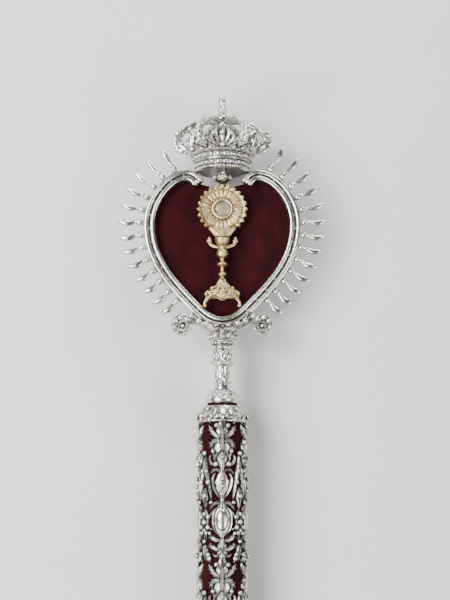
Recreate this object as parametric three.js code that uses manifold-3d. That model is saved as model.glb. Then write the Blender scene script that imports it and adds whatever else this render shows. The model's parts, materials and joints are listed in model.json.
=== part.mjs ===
// A processional staff of silver work on a velvet covered pole, lying on its back.
// Its head is a heart of doubled silver moulding with thirteen rays on each side. A gilt
// monstrance stands in the heart before a velvet panel, and a six-arched crown stands over it.
// Everything is drawn upright along +Y, with the foot's tip at y = 0 and the front towards +Z.
// The whole staff is tipped at the end, so that it lies on the floor as its own weight lays it.
import * as THREE from "three";
import { mergeVertices } from "three/addons/utils/BufferGeometryUtils.js";
import Module from "manifold-3d";

const wasm = await Module();
wasm.setup();

// Driving sizes, in millimetres
const clearance = 0.3;
const poleTop = 1440;
const poleRadius = 18;
const poleSides = 16;
const turnedSides = 10;
const poleShoulder = 10;
const poleNeckRadius = 12;

const ferruleTipRadius = 9;
const ferruleTipLength = 60;
const ferruleSocketDepth = 36;
const ferruleWall = 2;
const footRingRadius = 24;

const knopLength = 34;
const knopRadius = 25;
const knopCount = 3;
const sleeveLength = 230;
const sleeveWall = 1.5;
const sleeveStandOff = 1.1;
const sleeveRimHeight = 6;
const sleeveRimRelief = 1;
const motifCount = 2;
const columnCount = 4;
const bossRelief = 2.4;
const leafRelief = 2.0;

const bellHeight = 11.2;
const bellRadius = 13.5;
const stemHeight = 37.8;
const stemRadius = 9.2;
const cupHeight = 13.5;
const cupRadius = 14;

const frameHalfWidth = 5.1;
const frameFrontDepth = 3.9;
const frameBackDepth = 3.4;
const heartHalfWidth = 62;
const heartHeight = 126.5;
const heartWidest = 84;
const heartLobeInset = 30;
const heartEndInset = 22.6;

const rayCount = 13;
const longestRay = 24.5;
const shortestRay = 18;
const rayRadius = 2.1;
const rayWave = 0.7;
const leastRayLean = 30;
const firstRayFromEnd = 17.5;
const lastRayFromApex = 41;

const panelThickness = 4;
const backPlateThickness = 1.5;
const tongueHalfWidth = 6;

const monstranceForward = 4.2;
const monstranceFootLift = 20;
const monstranceFootHeight = 16;
const monstranceLegDrop = 7.4;
const monstranceStemRadius = 5.1;
const sunCollarDrop = 3.9;
const sunGapBelowPost = 1.6;
const sunRadius = 21.5;
const sunThickness = 2.4;
const sunPointCount = 24;
const lensRadius = 6.4;
const lensRimHeight = 0.8;
const lensBulge = 2.2;
const lensRingWidth = 2;
const lensSeat = -1.8;
const hostThickness = 1.4;
const monstranceFootHalfWidth = 14.6;
const monstranceFootHalfDepth = 7;

const voluteRadius = 9.6;
const voluteInset = 33.8;
const voluteHalfDepth = 5.2;
const voluteBandThickness = 4.2;

const crownBaseRadius = 22;
const crownBandTopRadius = 26.8;
const crownBandHeight = 16.2;
const crownWall = 2.4;
const crownAboveHeartTop = 2.6;
const crownPostHeight = 9.6;
const fleuronHeight = 20;
const strapHeight = 7;
const strapThickness = 2;
const strapWidth = 12;
const spigotRadius = 3;
const archCount = 6;
const archThickness = 5;
const archReach = 43.3;
const archPearlPitch = 5;
const archPearlHeight = 1.3;
const hubRadius = 5.5;
const orbRadius = 6;
const finialBallRadius = 3.5;

// Heights along the staff that follow from those sizes
const bellBase = poleTop + clearance;
const stemBase = bellBase + bellHeight + clearance;
const cupBase = stemBase + stemHeight + clearance;
const heartApex = cupBase + cupHeight + clearance + frameHalfWidth;
const heartTop = heartApex + heartHeight;
const crownBase = heartTop + crownAboveHeartTop;
const crownRim = crownBase + crownBandHeight;
const postBase = crownBase - crownPostHeight;
const sunCentre = postBase - sunGapBelowPost - sunRadius;
const sunFoot = sunCentre - sunRadius - sunCollarDrop;
const sleeveTop = poleTop - poleShoulder;
const sleeveBase = sleeveTop - sleeveLength;
const sleeveInner = poleRadius + clearance;
const strandBack = sleeveInner + sleeveStandOff;
const ferruleTop = ferruleTipLength + ferruleSocketDepth;
const panelFront = -frameBackDepth - clearance;
const panelBack = panelFront - panelThickness;
const plateFront = panelBack - clearance;
const plateBack = plateFront - backPlateThickness;

const silver = new THREE.MeshStandardMaterial({ color: 0xc9c9c4, roughness: 0.28, metalness: 1 });
const gilt = new THREE.MeshStandardMaterial({ color: 0xb89a62, roughness: 0.34, metalness: 1 });
const velvet = new THREE.MeshStandardMaterial({ color: 0x3a0610, roughness: 0.95, metalness: 0 });
const ivory = new THREE.MeshStandardMaterial({ color: 0xe6dcc0, roughness: 0.6, metalness: 0 });
const crystal = new THREE.MeshStandardMaterial({ color: 0xf2f4f2, roughness: 0.05, metalness: 0 });

const staff = new THREE.Group();

function addPiece(name, geometry, material) {
  const mesh = new THREE.Mesh(geometry, material);
  mesh.name = name;
  staff.add(mesh);
  return mesh;
}

// Six times the volume that a triangle list encloses, negative if its faces point inwards.
function signedVolume(positions, index) {
  const [a, b, c] = [new THREE.Vector3(), new THREE.Vector3(), new THREE.Vector3()];
  let sum = 0;
  for (let i = 0; i < index.length; i += 3) {
    a.fromArray(positions, 3 * index[i]);
    b.fromArray(positions, 3 * index[i + 1]);
    c.fromArray(positions, 3 * index[i + 2]);
    sum += a.dot(b.cross(c));
  }
  return sum;
}

function surface(positions, index) {
  if (signedVolume(positions, index) < 0) index.reverse();
  const geometry = new THREE.BufferGeometry();
  geometry.setAttribute("position", new THREE.Float32BufferAttribute(positions, 3));
  geometry.setIndex(index);
  return geometry;
}

// A skin over rings of equally many points: capped at both ends, or closed on itself.
function loft(rings, closed = false) {
  const count = rings[0].length;
  const positions = rings.flat().flatMap((p) => p.toArray());
  const index = [];
  for (let i = 0; i < rings.length - (closed ? 0 : 1); i++) {
    const here = i * count;
    const next = ((i + 1) % rings.length) * count;
    for (let j = 0; j < count; j++) {
      const k = (j + 1) % count;
      index.push(here + j, here + k, next + k, here + j, next + k, next + j);
    }
  }
  if (!closed) {
    for (const [start, turn] of [[0, 1], [(rings.length - 1) * count, 0]]) {
      const middle = new THREE.Vector3();
      for (let j = 0; j < count; j++) middle.add(rings[start / count][j]);
      positions.push(...middle.divideScalar(count).toArray());
      const centre = positions.length / 3 - 1;
      for (let j = 0; j < count; j++) {
        const k = (j + 1) % count;
        index.push(centre, start + (turn ? k : j), start + (turn ? j : k));
      }
    }
  }
  return surface(positions, index);
}

// A turned piece: [radius, height] pairs from the axis back to the axis, or round a ring.
// One flat of the polygon always faces down, so that a turned piece doesn't roll.
function turned(profile, segments = poleSides) {
  const points = profile.map(([r, y]) => new THREE.Vector2(r, y));
  return new THREE.LatheGeometry(points, segments, Math.PI / segments);
}

function toSolid(geometry) {
  const bare = new THREE.BufferGeometry();
  bare.setAttribute("position", geometry.getAttribute("position"));
  if (geometry.index) bare.setIndex(geometry.index);
  const merged = mergeVertices(bare, 1e-4);
  const vertProperties = merged.attributes.position.array;
  const triVerts = new Uint32Array(merged.index.array);
  return new wasm.Manifold(new wasm.Mesh({ numProp: 3, vertProperties, triVerts }));
}

function toGeometry(solid) {
  const mesh = solid.getMesh();
  const geometry = new THREE.BufferGeometry();
  geometry.setAttribute("position", new THREE.Float32BufferAttribute(mesh.vertProperties, 3));
  geometry.setIndex([...mesh.triVerts]);
  return geometry;
}

function joined(geometries) {
  return geometries.map(toSolid).reduce((whole, piece) => whole.add(piece));
}

// A flat outline, given as [x, y] points, made thick from backZ to frontZ.
function plate(outline, backZ, frontZ, holes = []) {
  const shape = new THREE.Shape(outline.map(([x, y]) => new THREE.Vector2(x, y)));
  for (const hole of holes) {
    shape.holes.push(new THREE.Path(hole.map(([x, y]) => new THREE.Vector2(x, y))));
  }
  const settings = { depth: frontZ - backZ, bevelEnabled: false, curveSegments: 1 };
  return new THREE.ExtrudeGeometry(shape, settings).translate(0, 0, backZ);
}

function circle(radius, count, x = 0, y = 0) {
  return Array.from({ length: count }, (_, i) => {
    const angle = (2 * Math.PI * i) / count;
    return [x + radius * Math.cos(angle), y + radius * Math.sin(angle)];
  });
}

// The right half of the heart's centre line, from the apex round to the end of its scroll.
function heartHalfCurve() {
  const flank = new THREE.Vector2(0.35 * heartHalfWidth, 0.136 * heartWidest);
  const path = new THREE.CurvePath();
  const corner = (x, y) => new THREE.Vector2(x, y);
  path.add(
    new THREE.CubicBezierCurve(
      corner(0, 0),
      corner(0.42 * flank.x, 0),
      corner(0.72 * flank.x, 0.46 * flank.y),
      flank,
    ),
  );
  path.add(
    new THREE.CubicBezierCurve(
      flank,
      corner(0.715 * heartHalfWidth, 0.41 * heartWidest),
      corner(heartHalfWidth, 0.64 * heartWidest),
      corner(heartHalfWidth, heartWidest),
    ),
  );
  path.add(
    new THREE.CubicBezierCurve(
      corner(heartHalfWidth, heartWidest),
      corner(heartHalfWidth, heartWidest + 0.46 * (heartHeight - heartWidest)),
      corner(heartLobeInset + 0.53 * (heartHalfWidth - heartLobeInset), heartHeight),
      corner(heartLobeInset, heartHeight),
    ),
  );
  path.add(
    new THREE.CubicBezierCurve(
      corner(heartLobeInset, heartHeight),
      corner(heartLobeInset - 0.42 * (heartLobeInset - heartEndInset), heartHeight),
      corner(heartEndInset + 1.6, heartHeight - 1.8),
      corner(heartEndInset, heartHeight - 4.4),
    ),
  );
  return path;
}

const heartHalf = heartHalfCurve();
const heartHalfLength = heartHalf.getLength();

// A point of the centre line with its outward normal, at a distance from the apex.
function onHeart(distance, side = 1) {
  const share = THREE.MathUtils.clamp(distance / heartHalfLength, 0, 1);
  const point = heartHalf.getPointAt(share);
  const tangent = heartHalf.getTangentAt(share);
  return {
    point: new THREE.Vector2(side * point.x, heartApex + point.y),
    normal: new THREE.Vector2(side * tangent.y, -tangent.x),
  };
}

// Distances along half the heart where the frame and the panel are drawn.
function heartStations(count) {
  return Array.from({ length: count + 1 }, (_, i) => (heartHalfLength * i) / count);
}

// The doubled moulding: two ribs with a groove between them, flat behind.
// Its ends swell into a knob. margin grows the section, to cut room for it in its neighbours.
function heartFrameGeometry(margin = 0) {
  const w = frameHalfWidth + margin;
  const front = frameFrontDepth + margin;
  const back = frameBackDepth + margin;
  const section = [
    [w, 0.2 * front],
    [0.74 * w, front],
    [0.36 * w, 0.94 * front],
    [0, 0.4 * front],
    [-0.36 * w, 0.94 * front],
    [-0.74 * w, front],
    [-w, 0.2 * front],
    [-0.85 * w, -back],
    [0.85 * w, -back],
  ];
  const ring = ({ point, normal }, size = 1) =>
    section.map(([n, z]) => {
      const depth = z * (z < 0 ? Math.min(size, 1) : size);
      return new THREE.Vector3(point.x + size * n * normal.x, point.y + size * n * normal.y, depth);
    });
  const half = (side) => {
    const rings = heartStations(18).map((d) => ring(onHeart(d, side)));
    const end = onHeart(heartHalfLength, side);
    const tangent = new THREE.Vector2(-side * end.normal.y, side * end.normal.x);
    for (const [ahead, size] of [[1.4, 1.12], [3.4, 1.04], [5, 0.6]]) {
      const point = end.point.clone().addScaledVector(tangent, ahead);
      rings.push(ring({ point, normal: end.normal }, size));
    }
    return rings;
  };
  return loft([...half(-1).slice(1).reverse(), ...half(1)]);
}

// The heart's outline, drawn in from its centre line, with given points where it dips at the top.
function heartOutline(inset, dip) {
  const right = heartStations(18).map((d) => {
    const { point, normal } = onHeart(d);
    return [point.x - inset * normal.x, point.y - inset * normal.y];
  });
  const left = right.slice(1).reverse().map(([x, y]) => [-x, y]);
  return [...right, ...dip, ...left];
}

const panelDip = [[0, heartApex + 0.9 * heartHeight]];

function addHeart() {
  addPiece("heart_frame", heartFrameGeometry(), silver);
  addPiece("velvet_panel", plate(heartOutline(1, panelDip), panelBack, panelFront), velvet);
  const tongueRoot = heartApex + 0.93 * heartHeight;
  const tongueTop = crownBase - clearance;
  const tongue = [
    [tongueHalfWidth, tongueRoot],
    [tongueHalfWidth, tongueTop],
    [-tongueHalfWidth, tongueTop],
    [-tongueHalfWidth, tongueRoot],
  ];
  addPiece("back_plate", plate(heartOutline(2.5, tongue), plateBack, plateFront), silver);
}

// A wavy spike with a bulb at its root. It leaves the heart along its normal, and no ray leans
// less than the least lean, in degrees from the staff's axis.
function rayGeometry(distance, side, length) {
  const { point, normal } = onHeart(distance, side);
  const root = point.clone().addScaledVector(normal, frameHalfWidth + clearance);
  const lean = Math.max(Math.atan2(side * normal.x, normal.y), THREE.MathUtils.degToRad(leastRayLean));
  const ahead = new THREE.Vector2(side * Math.sin(lean), Math.cos(lean));
  const rootAcross = new THREE.Vector2(-side * normal.y, side * normal.x);
  const across = new THREE.Vector2(-side * ahead.y, side * ahead.x);
  const stages = [
    [0, 1.1],
    [0.18, 0.8],
    [0.5, 1.05],
    [0.86, 0.95],
    [1, 0.45],
  ];
  const sides = 4;
  const rings = stages.map(([share, size]) => {
    const sway = rayWave * Math.sin(share * 2.6 * Math.PI);
    const centre = root.clone().addScaledVector(ahead, share * length).addScaledVector(across, sway);
    const width = share === 0 ? rootAcross : across;
    return Array.from({ length: sides }, (_, i) => {
      const angle = (2 * Math.PI * i) / sides;
      const wide = rayRadius * size * Math.cos(angle);
      const deep = rayRadius * size * Math.sin(angle);
      return new THREE.Vector3(centre.x + wide * width.x, centre.y + wide * width.y, deep);
    });
  });
  return loft(rings);
}

// Distances along the centre line that are evenly spaced along the frame's outer edge.
function evenOnOuterEdge(from, to, count) {
  const samples = Array.from({ length: 201 }, (_, i) => from + ((to - from) * i) / 200);
  const edge = samples.map((d) => {
    const { point, normal } = onHeart(d);
    return point.addScaledVector(normal, frameHalfWidth);
  });
  const run = [0];
  for (let i = 1; i < edge.length; i++) run.push(run[i - 1] + edge[i].distanceTo(edge[i - 1]));
  const total = run[run.length - 1];
  return Array.from({ length: count }, (_, k) => {
    const wanted = (total * k) / (count - 1);
    return samples[run.findIndex((length) => length >= wanted - 1e-6)];
  });
}

function addRays() {
  const roots = evenOnOuterEdge(heartHalfLength - firstRayFromEnd, lastRayFromApex, rayCount);
  for (const [side, hand] of [[-1, "left"], [1, "right"]]) {
    for (let i = 0; i < rayCount; i++) {
      const length = THREE.MathUtils.lerp(longestRay, shortestRay, i / (rayCount - 1));
      const name = `ray_${hand}_${String(i + 1).padStart(2, "0")}`;
      addPiece(name, rayGeometry(roots[i], side, length), silver);
    }
  }
}

// A leaf or rib that lies on the sleeve's cylinder. Each point of its path is
// [angle in degrees, height, half width, relief], and a ridge runs along its middle.
function strand(path) {
  const rings = path.map(([degrees, y, half, relief], i) => {
    const before = path[Math.max(0, i - 1)];
    const after = path[Math.min(path.length - 1, i + 1)];
    const angle = THREE.MathUtils.degToRad(degrees);
    const run = sleeveInner * THREE.MathUtils.degToRad(after[0] - before[0]);
    const rise = after[1] - before[1];
    const size = Math.hypot(run, rise);
    const at = (offset, r) => {
      const turn = angle - (offset * rise) / size / sleeveInner;
      return new THREE.Vector3(r * Math.sin(turn), y + (offset * run) / size, r * Math.cos(turn));
    };
    return [at(half, strandBack), at(0, strandBack + relief), at(-half, strandBack)];
  });
  return loft(rings);
}

// One length of one column of the sleeve: a middle rib that swells into a palmette, a bead and
// an oval boss, a scroll on each side of the palmette, and leaves that reach over to the next
// columns.
function motif(degrees, top, pitch) {
  const draw = (points, turn = 1) =>
    strand(points.map(([a, down, half, relief]) => [degrees + turn * a, top - down * pitch, half, relief]));
  const rib = [
    [0, -0.02, 1.6, 1],
    [0, 0.14, 4, leafRelief],
    [0, 0.26, 1.8, 1.2],
    [0, 0.38, 2.6, leafRelief],
    [0, 0.5, 1.8, 1.2],
    [0, 0.6, 4.6, bossRelief],
    [0, 0.72, 4.6, bossRelief],
    [0, 0.84, 1.8, 1.2],
    [0, 1.02, 1.6, 1],
  ];
  const scroll = [
    [4, 0.03, 1.6, 1],
    [25, 0.1, 3, leafRelief],
    [26, 0.2, 3, leafRelief],
    [4, 0.33, 1.6, 1],
  ];
  const leaf = [
    [44, 0.34, 1.8, 1],
    [19, 0.56, 3.2, leafRelief],
    [20, 0.74, 3.2, leafRelief],
    [44, 0.94, 1.8, 1],
  ];
  return [draw(rib), draw(scroll), draw(scroll, -1), draw(leaf), draw(leaf, -1)];
}

// The openwork silver sleeve over the top of the pole: ribs and leaves between two rims, the
// upper of which turns in over the pole's shoulder.
function addSleeve() {
  const rim = sleeveInner + sleeveWall + sleeveRimRelief;
  const lower = turned([
    [sleeveInner, sleeveBase],
    [rim, sleeveBase],
    [rim, sleeveBase + sleeveRimHeight],
    [sleeveInner, sleeveBase + sleeveRimHeight + 1],
    [sleeveInner, sleeveBase],
  ]);
  const slope = (poleRadius - poleNeckRadius) / poleShoulder;
  const turnedIn = 0.8 * poleShoulder;
  const topInner = sleeveInner + 0.2 - slope * turnedIn;
  const upper = turned([
    [sleeveInner, sleeveTop - sleeveRimHeight],
    [sleeveInner + sleeveWall, sleeveTop - sleeveRimHeight],
    [sleeveInner + sleeveWall, sleeveTop - 1],
    [topInner + sleeveWall, sleeveTop + turnedIn],
    [topInner, sleeveTop + turnedIn],
    [sleeveInner, sleeveTop],
    [sleeveInner, sleeveTop - sleeveRimHeight],
  ]);
  const ribTop = sleeveTop - 0.5 * sleeveRimHeight;
  const pitch = (ribTop - sleeveBase - 0.5 * sleeveRimHeight) / motifCount;
  const pieces = [lower, upper];
  for (let m = 0; m < motifCount; m++) {
    for (let c = 0; c < columnCount; c++) {
      pieces.push(...motif((360 * c) / columnCount, ribTop - m * pitch, pitch));
    }
  }
  addPiece("openwork_sleeve", toGeometry(joined(pieces)), silver);
}

function addPole() {
  addPiece(
    "velvet_pole",
    turned(
      [
        [0, ferruleTipLength + clearance],
        [poleRadius, ferruleTipLength + clearance],
        [poleRadius, sleeveTop],
        [poleNeckRadius, poleTop],
        [0, poleTop],
      ],
      poleSides,
    ),
    velvet,
  );
  const bore = poleRadius + clearance;
  addPiece(
    "foot_ferrule",
    turned([
      [0, 0],
      [ferruleTipRadius, 0],
      [ferruleTipRadius + 1.6, 2],
      [ferruleTipRadius + 1.6, 9],
      [ferruleTipRadius - 0.5, 12],
      [ferruleTipRadius + 1, 30],
      [poleRadius - 1, ferruleTipLength - 8],
      [bore + ferruleWall, ferruleTipLength],
      [bore + ferruleWall, ferruleTipLength + 10],
      [footRingRadius, ferruleTipLength + 14],
      [footRingRadius, ferruleTipLength + 20],
      [bore + ferruleWall, ferruleTipLength + 24],
      [bore + 1, ferruleTop],
      [bore, ferruleTop],
      [bore, ferruleTipLength],
      [0, ferruleTipLength],
    ]),
    silver,
  );
  const highest = sleeveBase - clearance - knopLength;
  const spacing = (highest - ferruleTop) / knopCount;
  for (let k = 0; k < knopCount; k++) {
    const base = highest - k * spacing;
    const profile = [
      [bore, 0],
      [bore + 1.8, 0],
      [bore + 1.8, 0.14],
      [bore + 1, 0.22],
      [0.95 * knopRadius, 0.36],
      [knopRadius, 0.5],
      [0.95 * knopRadius, 0.64],
      [bore + 1, 0.78],
      [bore + 1.8, 0.86],
      [bore + 1.8, 1],
      [bore, 1],
      [bore, 0],
    ];
    const ring = profile.map(([r, share]) => [r, base + share * knopLength]);
    addPiece(`pole_knop_${k + 1}`, turned(ring), silver);
  }
}

function addStem() {
  addPiece(
    "head_bell",
    turned([
      [0, bellBase],
      [poleNeckRadius, bellBase],
      [bellRadius, bellBase + 0.2 * bellHeight],
      [bellRadius, bellBase + 0.46 * bellHeight],
      [0.87 * bellRadius, bellBase + 0.56 * bellHeight],
      [0.8 * bellRadius, bellBase + 0.82 * bellHeight],
      [0.55 * bellRadius, bellBase + bellHeight],
      [0, bellBase + bellHeight],
    ]),
    silver,
  );
  const shares = [
    [0, 0],
    [0.68, 0],
    [0.7, 0.04],
    [0.64, 0.1],
    [0.76, 0.155],
    [0.76, 0.2],
    [0.63, 0.24],
    [0.61, 0.42],
    [0.68, 0.51],
    [1, 0.56],
    [1, 0.62],
    [0.87, 0.66],
    [0.93, 0.75],
    [0.84, 0.85],
    [0.94, 0.89],
    [0.94, 0.97],
    [0.8, 1],
    [0, 1],
  ];
  const profile = shares.map(([r, y]) => [r * stemRadius, stemBase + y * stemHeight]);
  addPiece("head_stem", turned(profile, turnedSides), silver);
}

// The band of a volute: from the cup's middle out under the heart, over the top of the roll,
// round it and in to its eye.
function voluteGeometry(side) {
  const centreY = heartApex - 3;
  const path = [
    [0, heartApex - frameHalfWidth - 4.2],
    [0.32 * voluteInset, heartApex - frameHalfWidth - 2.4],
    [0.6 * voluteInset, heartApex - 1.4],
  ].map(([x, y]) => new THREE.Vector3(x, y, 0.5 * voluteBandThickness));
  const turns = 1.45;
  const steps = 11;
  for (let i = 0; i <= steps; i++) {
    const share = i / steps;
    const angle = THREE.MathUtils.degToRad(118) - share * turns * 2 * Math.PI;
    const thick = 0.5 * voluteBandThickness * (1 - 0.25 * share);
    const reach = (voluteRadius - thick) * (1 - 0.76 * Math.max(0, share - 0.2) / 0.8);
    const x = voluteInset + reach * Math.cos(angle);
    path.push(new THREE.Vector3(x, centreY + reach * Math.sin(angle), thick));
  }
  const rings = path.map((at, i) => {
    const before = path[Math.max(0, i - 1)];
    const after = path[Math.min(path.length - 1, i + 1)];
    const across = new THREE.Vector2(before.y - after.y, after.x - before.x).normalize();
    const share = i / (path.length - 1);
    const deep = voluteHalfDepth * (1 - 0.2 * share);
    const section = [[1, 0.6], [0, 1], [-1, 0.6], [-1, -0.6], [0, -1], [1, -0.6]];
    return section.map(([a, b]) => {
      const off = a * at.z;
      return new THREE.Vector3(side * (at.x + off * across.x), at.y + off * across.y, b * deep);
    });
  });
  return loft(rings);
}

// The cast bracket under the heart: a cup, a volute on each side, and room for the heart's apex.
function addBracket() {
  const rise = cupHeight;
  const cup = turned(
    [
      [0, cupBase],
      [0.62 * cupRadius, cupBase],
      [0.8 * cupRadius, cupBase + 0.2 * rise],
      [cupRadius, cupBase + 0.34 * rise],
      [cupRadius, cupBase + 0.52 * rise],
      [0.8 * cupRadius, cupBase + 0.64 * rise],
      [0.86 * cupRadius, cupBase + 1.1 * rise],
      [0.7 * cupRadius, cupBase + 1.45 * rise],
      [0, cupBase + 1.45 * rise],
    ],
    16,
  );
  const whole = joined([cup, voluteGeometry(1), voluteGeometry(-1)])
    .subtract(toSolid(heartFrameGeometry(clearance)))
    .subtract(toSolid(plate(heartOutline(0.4, panelDip), plateBack - clearance, panelFront + clearance)));
  const largest = whole.decompose().sort((a, b) => b.volume() - a.volume())[0];
  addPiece("base_bracket", toGeometry(largest), silver);
}

// The monstrance's foot: an oval bell of low lobes on two curled legs.
function monstranceFootGeometry() {
  const half = monstranceFootHalfWidth;
  const base = heartApex + monstranceFootLift;
  const profile = [
    [0, 0],
    [0.93, 0],
    [1, 0.09],
    [0.97, 0.22],
    [0.72, 0.41],
    [0.42, 0.69],
    [0.22, 1],
    [0, 1],
  ].map(([share, rise]) => [share * half, base + rise * monstranceFootHeight]);
  const bell = turned(profile).scale(1, 1, monstranceFootHalfDepth / half);
  const leg = (side) => {
    const stages = [
      [0.8, -0.2, 1.9],
      [0.98, 0.34, 1.5],
      [0.96, 0.73, 1.9],
      [0.96, 1, 1],
    ];
    return loft(
      stages.map(([share, drop, size]) =>
        circle(size, 6).map(
          ([a, b]) =>
            new THREE.Vector3(side * share * half + a, base - drop * monstranceLegDrop, b),
        ),
      ),
    );
  };
  return joined([bell, leg(1), leg(-1)]);
}

// The monstrance's turned stem, with an arm on each side that ends in a ball.
function monstranceStemGeometry() {
  const base = heartApex + monstranceFootLift + monstranceFootHeight + clearance;
  const rise = sunFoot - clearance - base;
  const profile = [
    [0, 0],
    [0.47, 0],
    [0.31, 0.04],
    [0.73, 0.09],
    [0.73, 0.14],
    [0.31, 0.21],
    [0.31, 0.27],
    [0.98, 0.33],
    [0.98, 0.39],
    [0.35, 0.45],
    [0.51, 0.51],
    [1, 0.59],
    [1, 0.68],
    [0.55, 0.75],
    [0.86, 0.84],
    [1.22, 0.96],
    [1.22, 1],
    [0, 1],
  ].map(([share, height]) => [share * monstranceStemRadius, base + height * rise]);
  const arm = (side) => {
    const stages = [
      [3, 0.81, 1.5],
      [8, 0.85, 1.5],
      [11, 0.93, 2.4],
      [11.4, 1, 1.5],
    ];
    return loft(
      stages.map(([x, height, size]) =>
        circle(size, 5).map(([a, b]) => new THREE.Vector3(side * x, base + height * rise + a, b)),
      ),
    );
  };
  return joined([turned(profile, turnedSides), arm(1), arm(-1)]);
}

// The monstrance's disc, drawn round its own centre: a toothed edge, a neck and the lens's ring.
function sunGeometry() {
  const teeth = [];
  for (let i = 0; i < sunPointCount; i++) {
    for (const [share, reach] of [[0, 1], [0.5, 0.88]]) {
      const angle = (2 * Math.PI * (i + share)) / sunPointCount - Math.PI / 2;
      teeth.push([sunRadius * reach * Math.cos(angle), sunRadius * reach * Math.sin(angle)]);
    }
  }
  const disc = plate(teeth, -0.5 * sunThickness, 0.5 * sunThickness);
  const neckTop = -0.74 * sunRadius;
  const neckFoot = -sunRadius - sunCollarDrop;
  const neckOutline = [
    [0.26 * sunRadius, neckFoot],
    [0.53 * sunRadius, neckTop],
    [-0.53 * sunRadius, neckTop],
    [-0.26 * sunRadius, neckFoot],
  ];
  const neck = plate(neckOutline, -0.65 * sunThickness, 0.65 * sunThickness);
  const hole = lensRadius + clearance;
  const ring = turned([
    [hole, lensSeat],
    [hole + lensRingWidth, lensSeat],
    [hole + 1.3 * lensRingWidth, 0],
    [hole + lensRingWidth, sunThickness],
    [hole + 0.3 * lensRingWidth, sunThickness],
    [hole, 0.7 * sunThickness],
    [hole, lensSeat],
  ]).rotateX(Math.PI / 2);
  const bore = turned([
    [0, 2 * lensSeat],
    [hole, 2 * lensSeat],
    [hole, 2 * sunThickness],
    [0, 2 * sunThickness],
  ]).rotateX(Math.PI / 2);
  return joined([disc, neck, ring]).subtract(toSolid(bore));
}

// The gilt monstrance, its pieces stacked on one axis before the panel.
function addMonstrance() {
  const forward = monstranceForward;
  const feet = monstranceFootGeometry().translate([0, 0, forward]);
  const clear = feet.subtract(toSolid(heartFrameGeometry(clearance)));
  const foot = clear.decompose().sort((a, b) => b.volume() - a.volume())[0];
  addPiece("monstrance_foot", toGeometry(foot), gilt);

  const stem = monstranceStemGeometry().translate([0, 0, forward]);
  addPiece("monstrance_stem", toGeometry(stem), gilt);

  const sun = sunGeometry().translate([0, sunCentre, forward]);
  addPiece("monstrance_sun", toGeometry(sun), gilt);

  const inRing = (profile) => turned(profile).rotateX(Math.PI / 2).translate(0, sunCentre, forward);
  const hostFront = lensSeat + hostThickness;
  const host = inRing([
    [0, lensSeat],
    [lensRadius, lensSeat],
    [lensRadius, hostFront],
    [0, hostFront],
  ]);
  addPiece("monstrance_host", host, ivory);
  const lensBack = hostFront + clearance;
  const lensEdge = lensBack + lensRimHeight;
  const lens = inRing([
    [0, lensBack],
    [lensRadius, lensBack],
    [lensRadius, lensEdge],
    [0.62 * lensRadius, lensEdge + 0.72 * lensBulge],
    [0, lensEdge + lensBulge],
  ]);
  addPiece("monstrance_lens", lens, crystal);
}

// The crown's band and basket: a flaring ring whose upper edge rises into six fleurons.
function crownBasketGeometry() {
  const steps = 6 * archCount;
  const rings = [];
  for (let i = 0; i < steps; i++) {
    const angle = (2 * Math.PI * i) / steps;
    const rise = Math.max(0, Math.cos((archCount * angle) / 2) ** 2 - 0.26) / 0.74;
    const height = fleuronHeight * rise ** 0.5;
    const topRadius = crownBandTopRadius + 0.22 * height;
    const rim = crownBandHeight;
    const section = [
      [crownBaseRadius - crownWall, 0],
      [crownBaseRadius, 0],
      [crownBaseRadius + 1.2, 0.34 * rim],
      [crownBaseRadius + 3.2, 0.5 * rim],
      [crownBandTopRadius, rim],
      [topRadius, rim + height],
      [topRadius - 0.7 * crownWall, rim + height],
      [crownBandTopRadius - crownWall, rim - 1],
    ];
    rings.push(
      section.map(
        ([r, h]) => new THREE.Vector3(r * Math.sin(angle), crownBase + h, r * Math.cos(angle)),
      ),
    );
  }
  return loft(rings, true);
}

// One arch of the crown in its own plane, [reach from the axis, height], with a pearled crest.
function archOutline() {
  const crest = new THREE.CatmullRomCurve3(
    [
      [hubRadius + clearance, 30.3],
      [0.36 * archReach, 30.4],
      [0.6 * archReach, 27],
      [0.81 * archReach, 22],
      [0.95 * archReach, 16.6],
      [archReach - archPearlHeight, 11],
      [0.94 * archReach, 4.8],
      [0.84 * archReach, 1.2],
      [0.72 * archReach, 0.6],
    ].map(([r, h]) => new THREE.Vector3(r, crownRim + h, 0)),
  );
  const pearls = Math.round(crest.getLength() / archPearlPitch);
  const outer = [];
  for (let i = 0; i < pearls; i++) {
    for (const [share, lift] of [[0, 0], [0.5, 1]]) {
      const at = (i + share) / pearls;
      const point = crest.getPointAt(at);
      const tangent = crest.getTangentAt(at);
      const off = lift * archPearlHeight;
      outer.push([point.x - tangent.y * -off, point.y + -tangent.x * -off]);
    }
  }
  const foot = crownRim + clearance;
  const seat = crownBandTopRadius - 0.6 * crownWall;
  const inner = [
    [0.7 * archReach, crownRim + 0.4],
    [crownBandTopRadius + 1.2, foot],
    [seat, foot],
    [seat, crownRim + 6.5],
    [0.68 * archReach, crownRim + 9.6],
    [0.78 * archReach, crownRim + 12],
    [0.79 * archReach, crownRim + 15.4],
    [0.73 * archReach, crownRim + 18.4],
    [0.62 * archReach, crownRim + 21.4],
    [0.48 * archReach, crownRim + 24.4],
    [0.34 * archReach, crownRim + 26],
    [hubRadius + clearance, crownRim + 26],
  ];
  return [...outer, ...inner];
}

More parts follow.
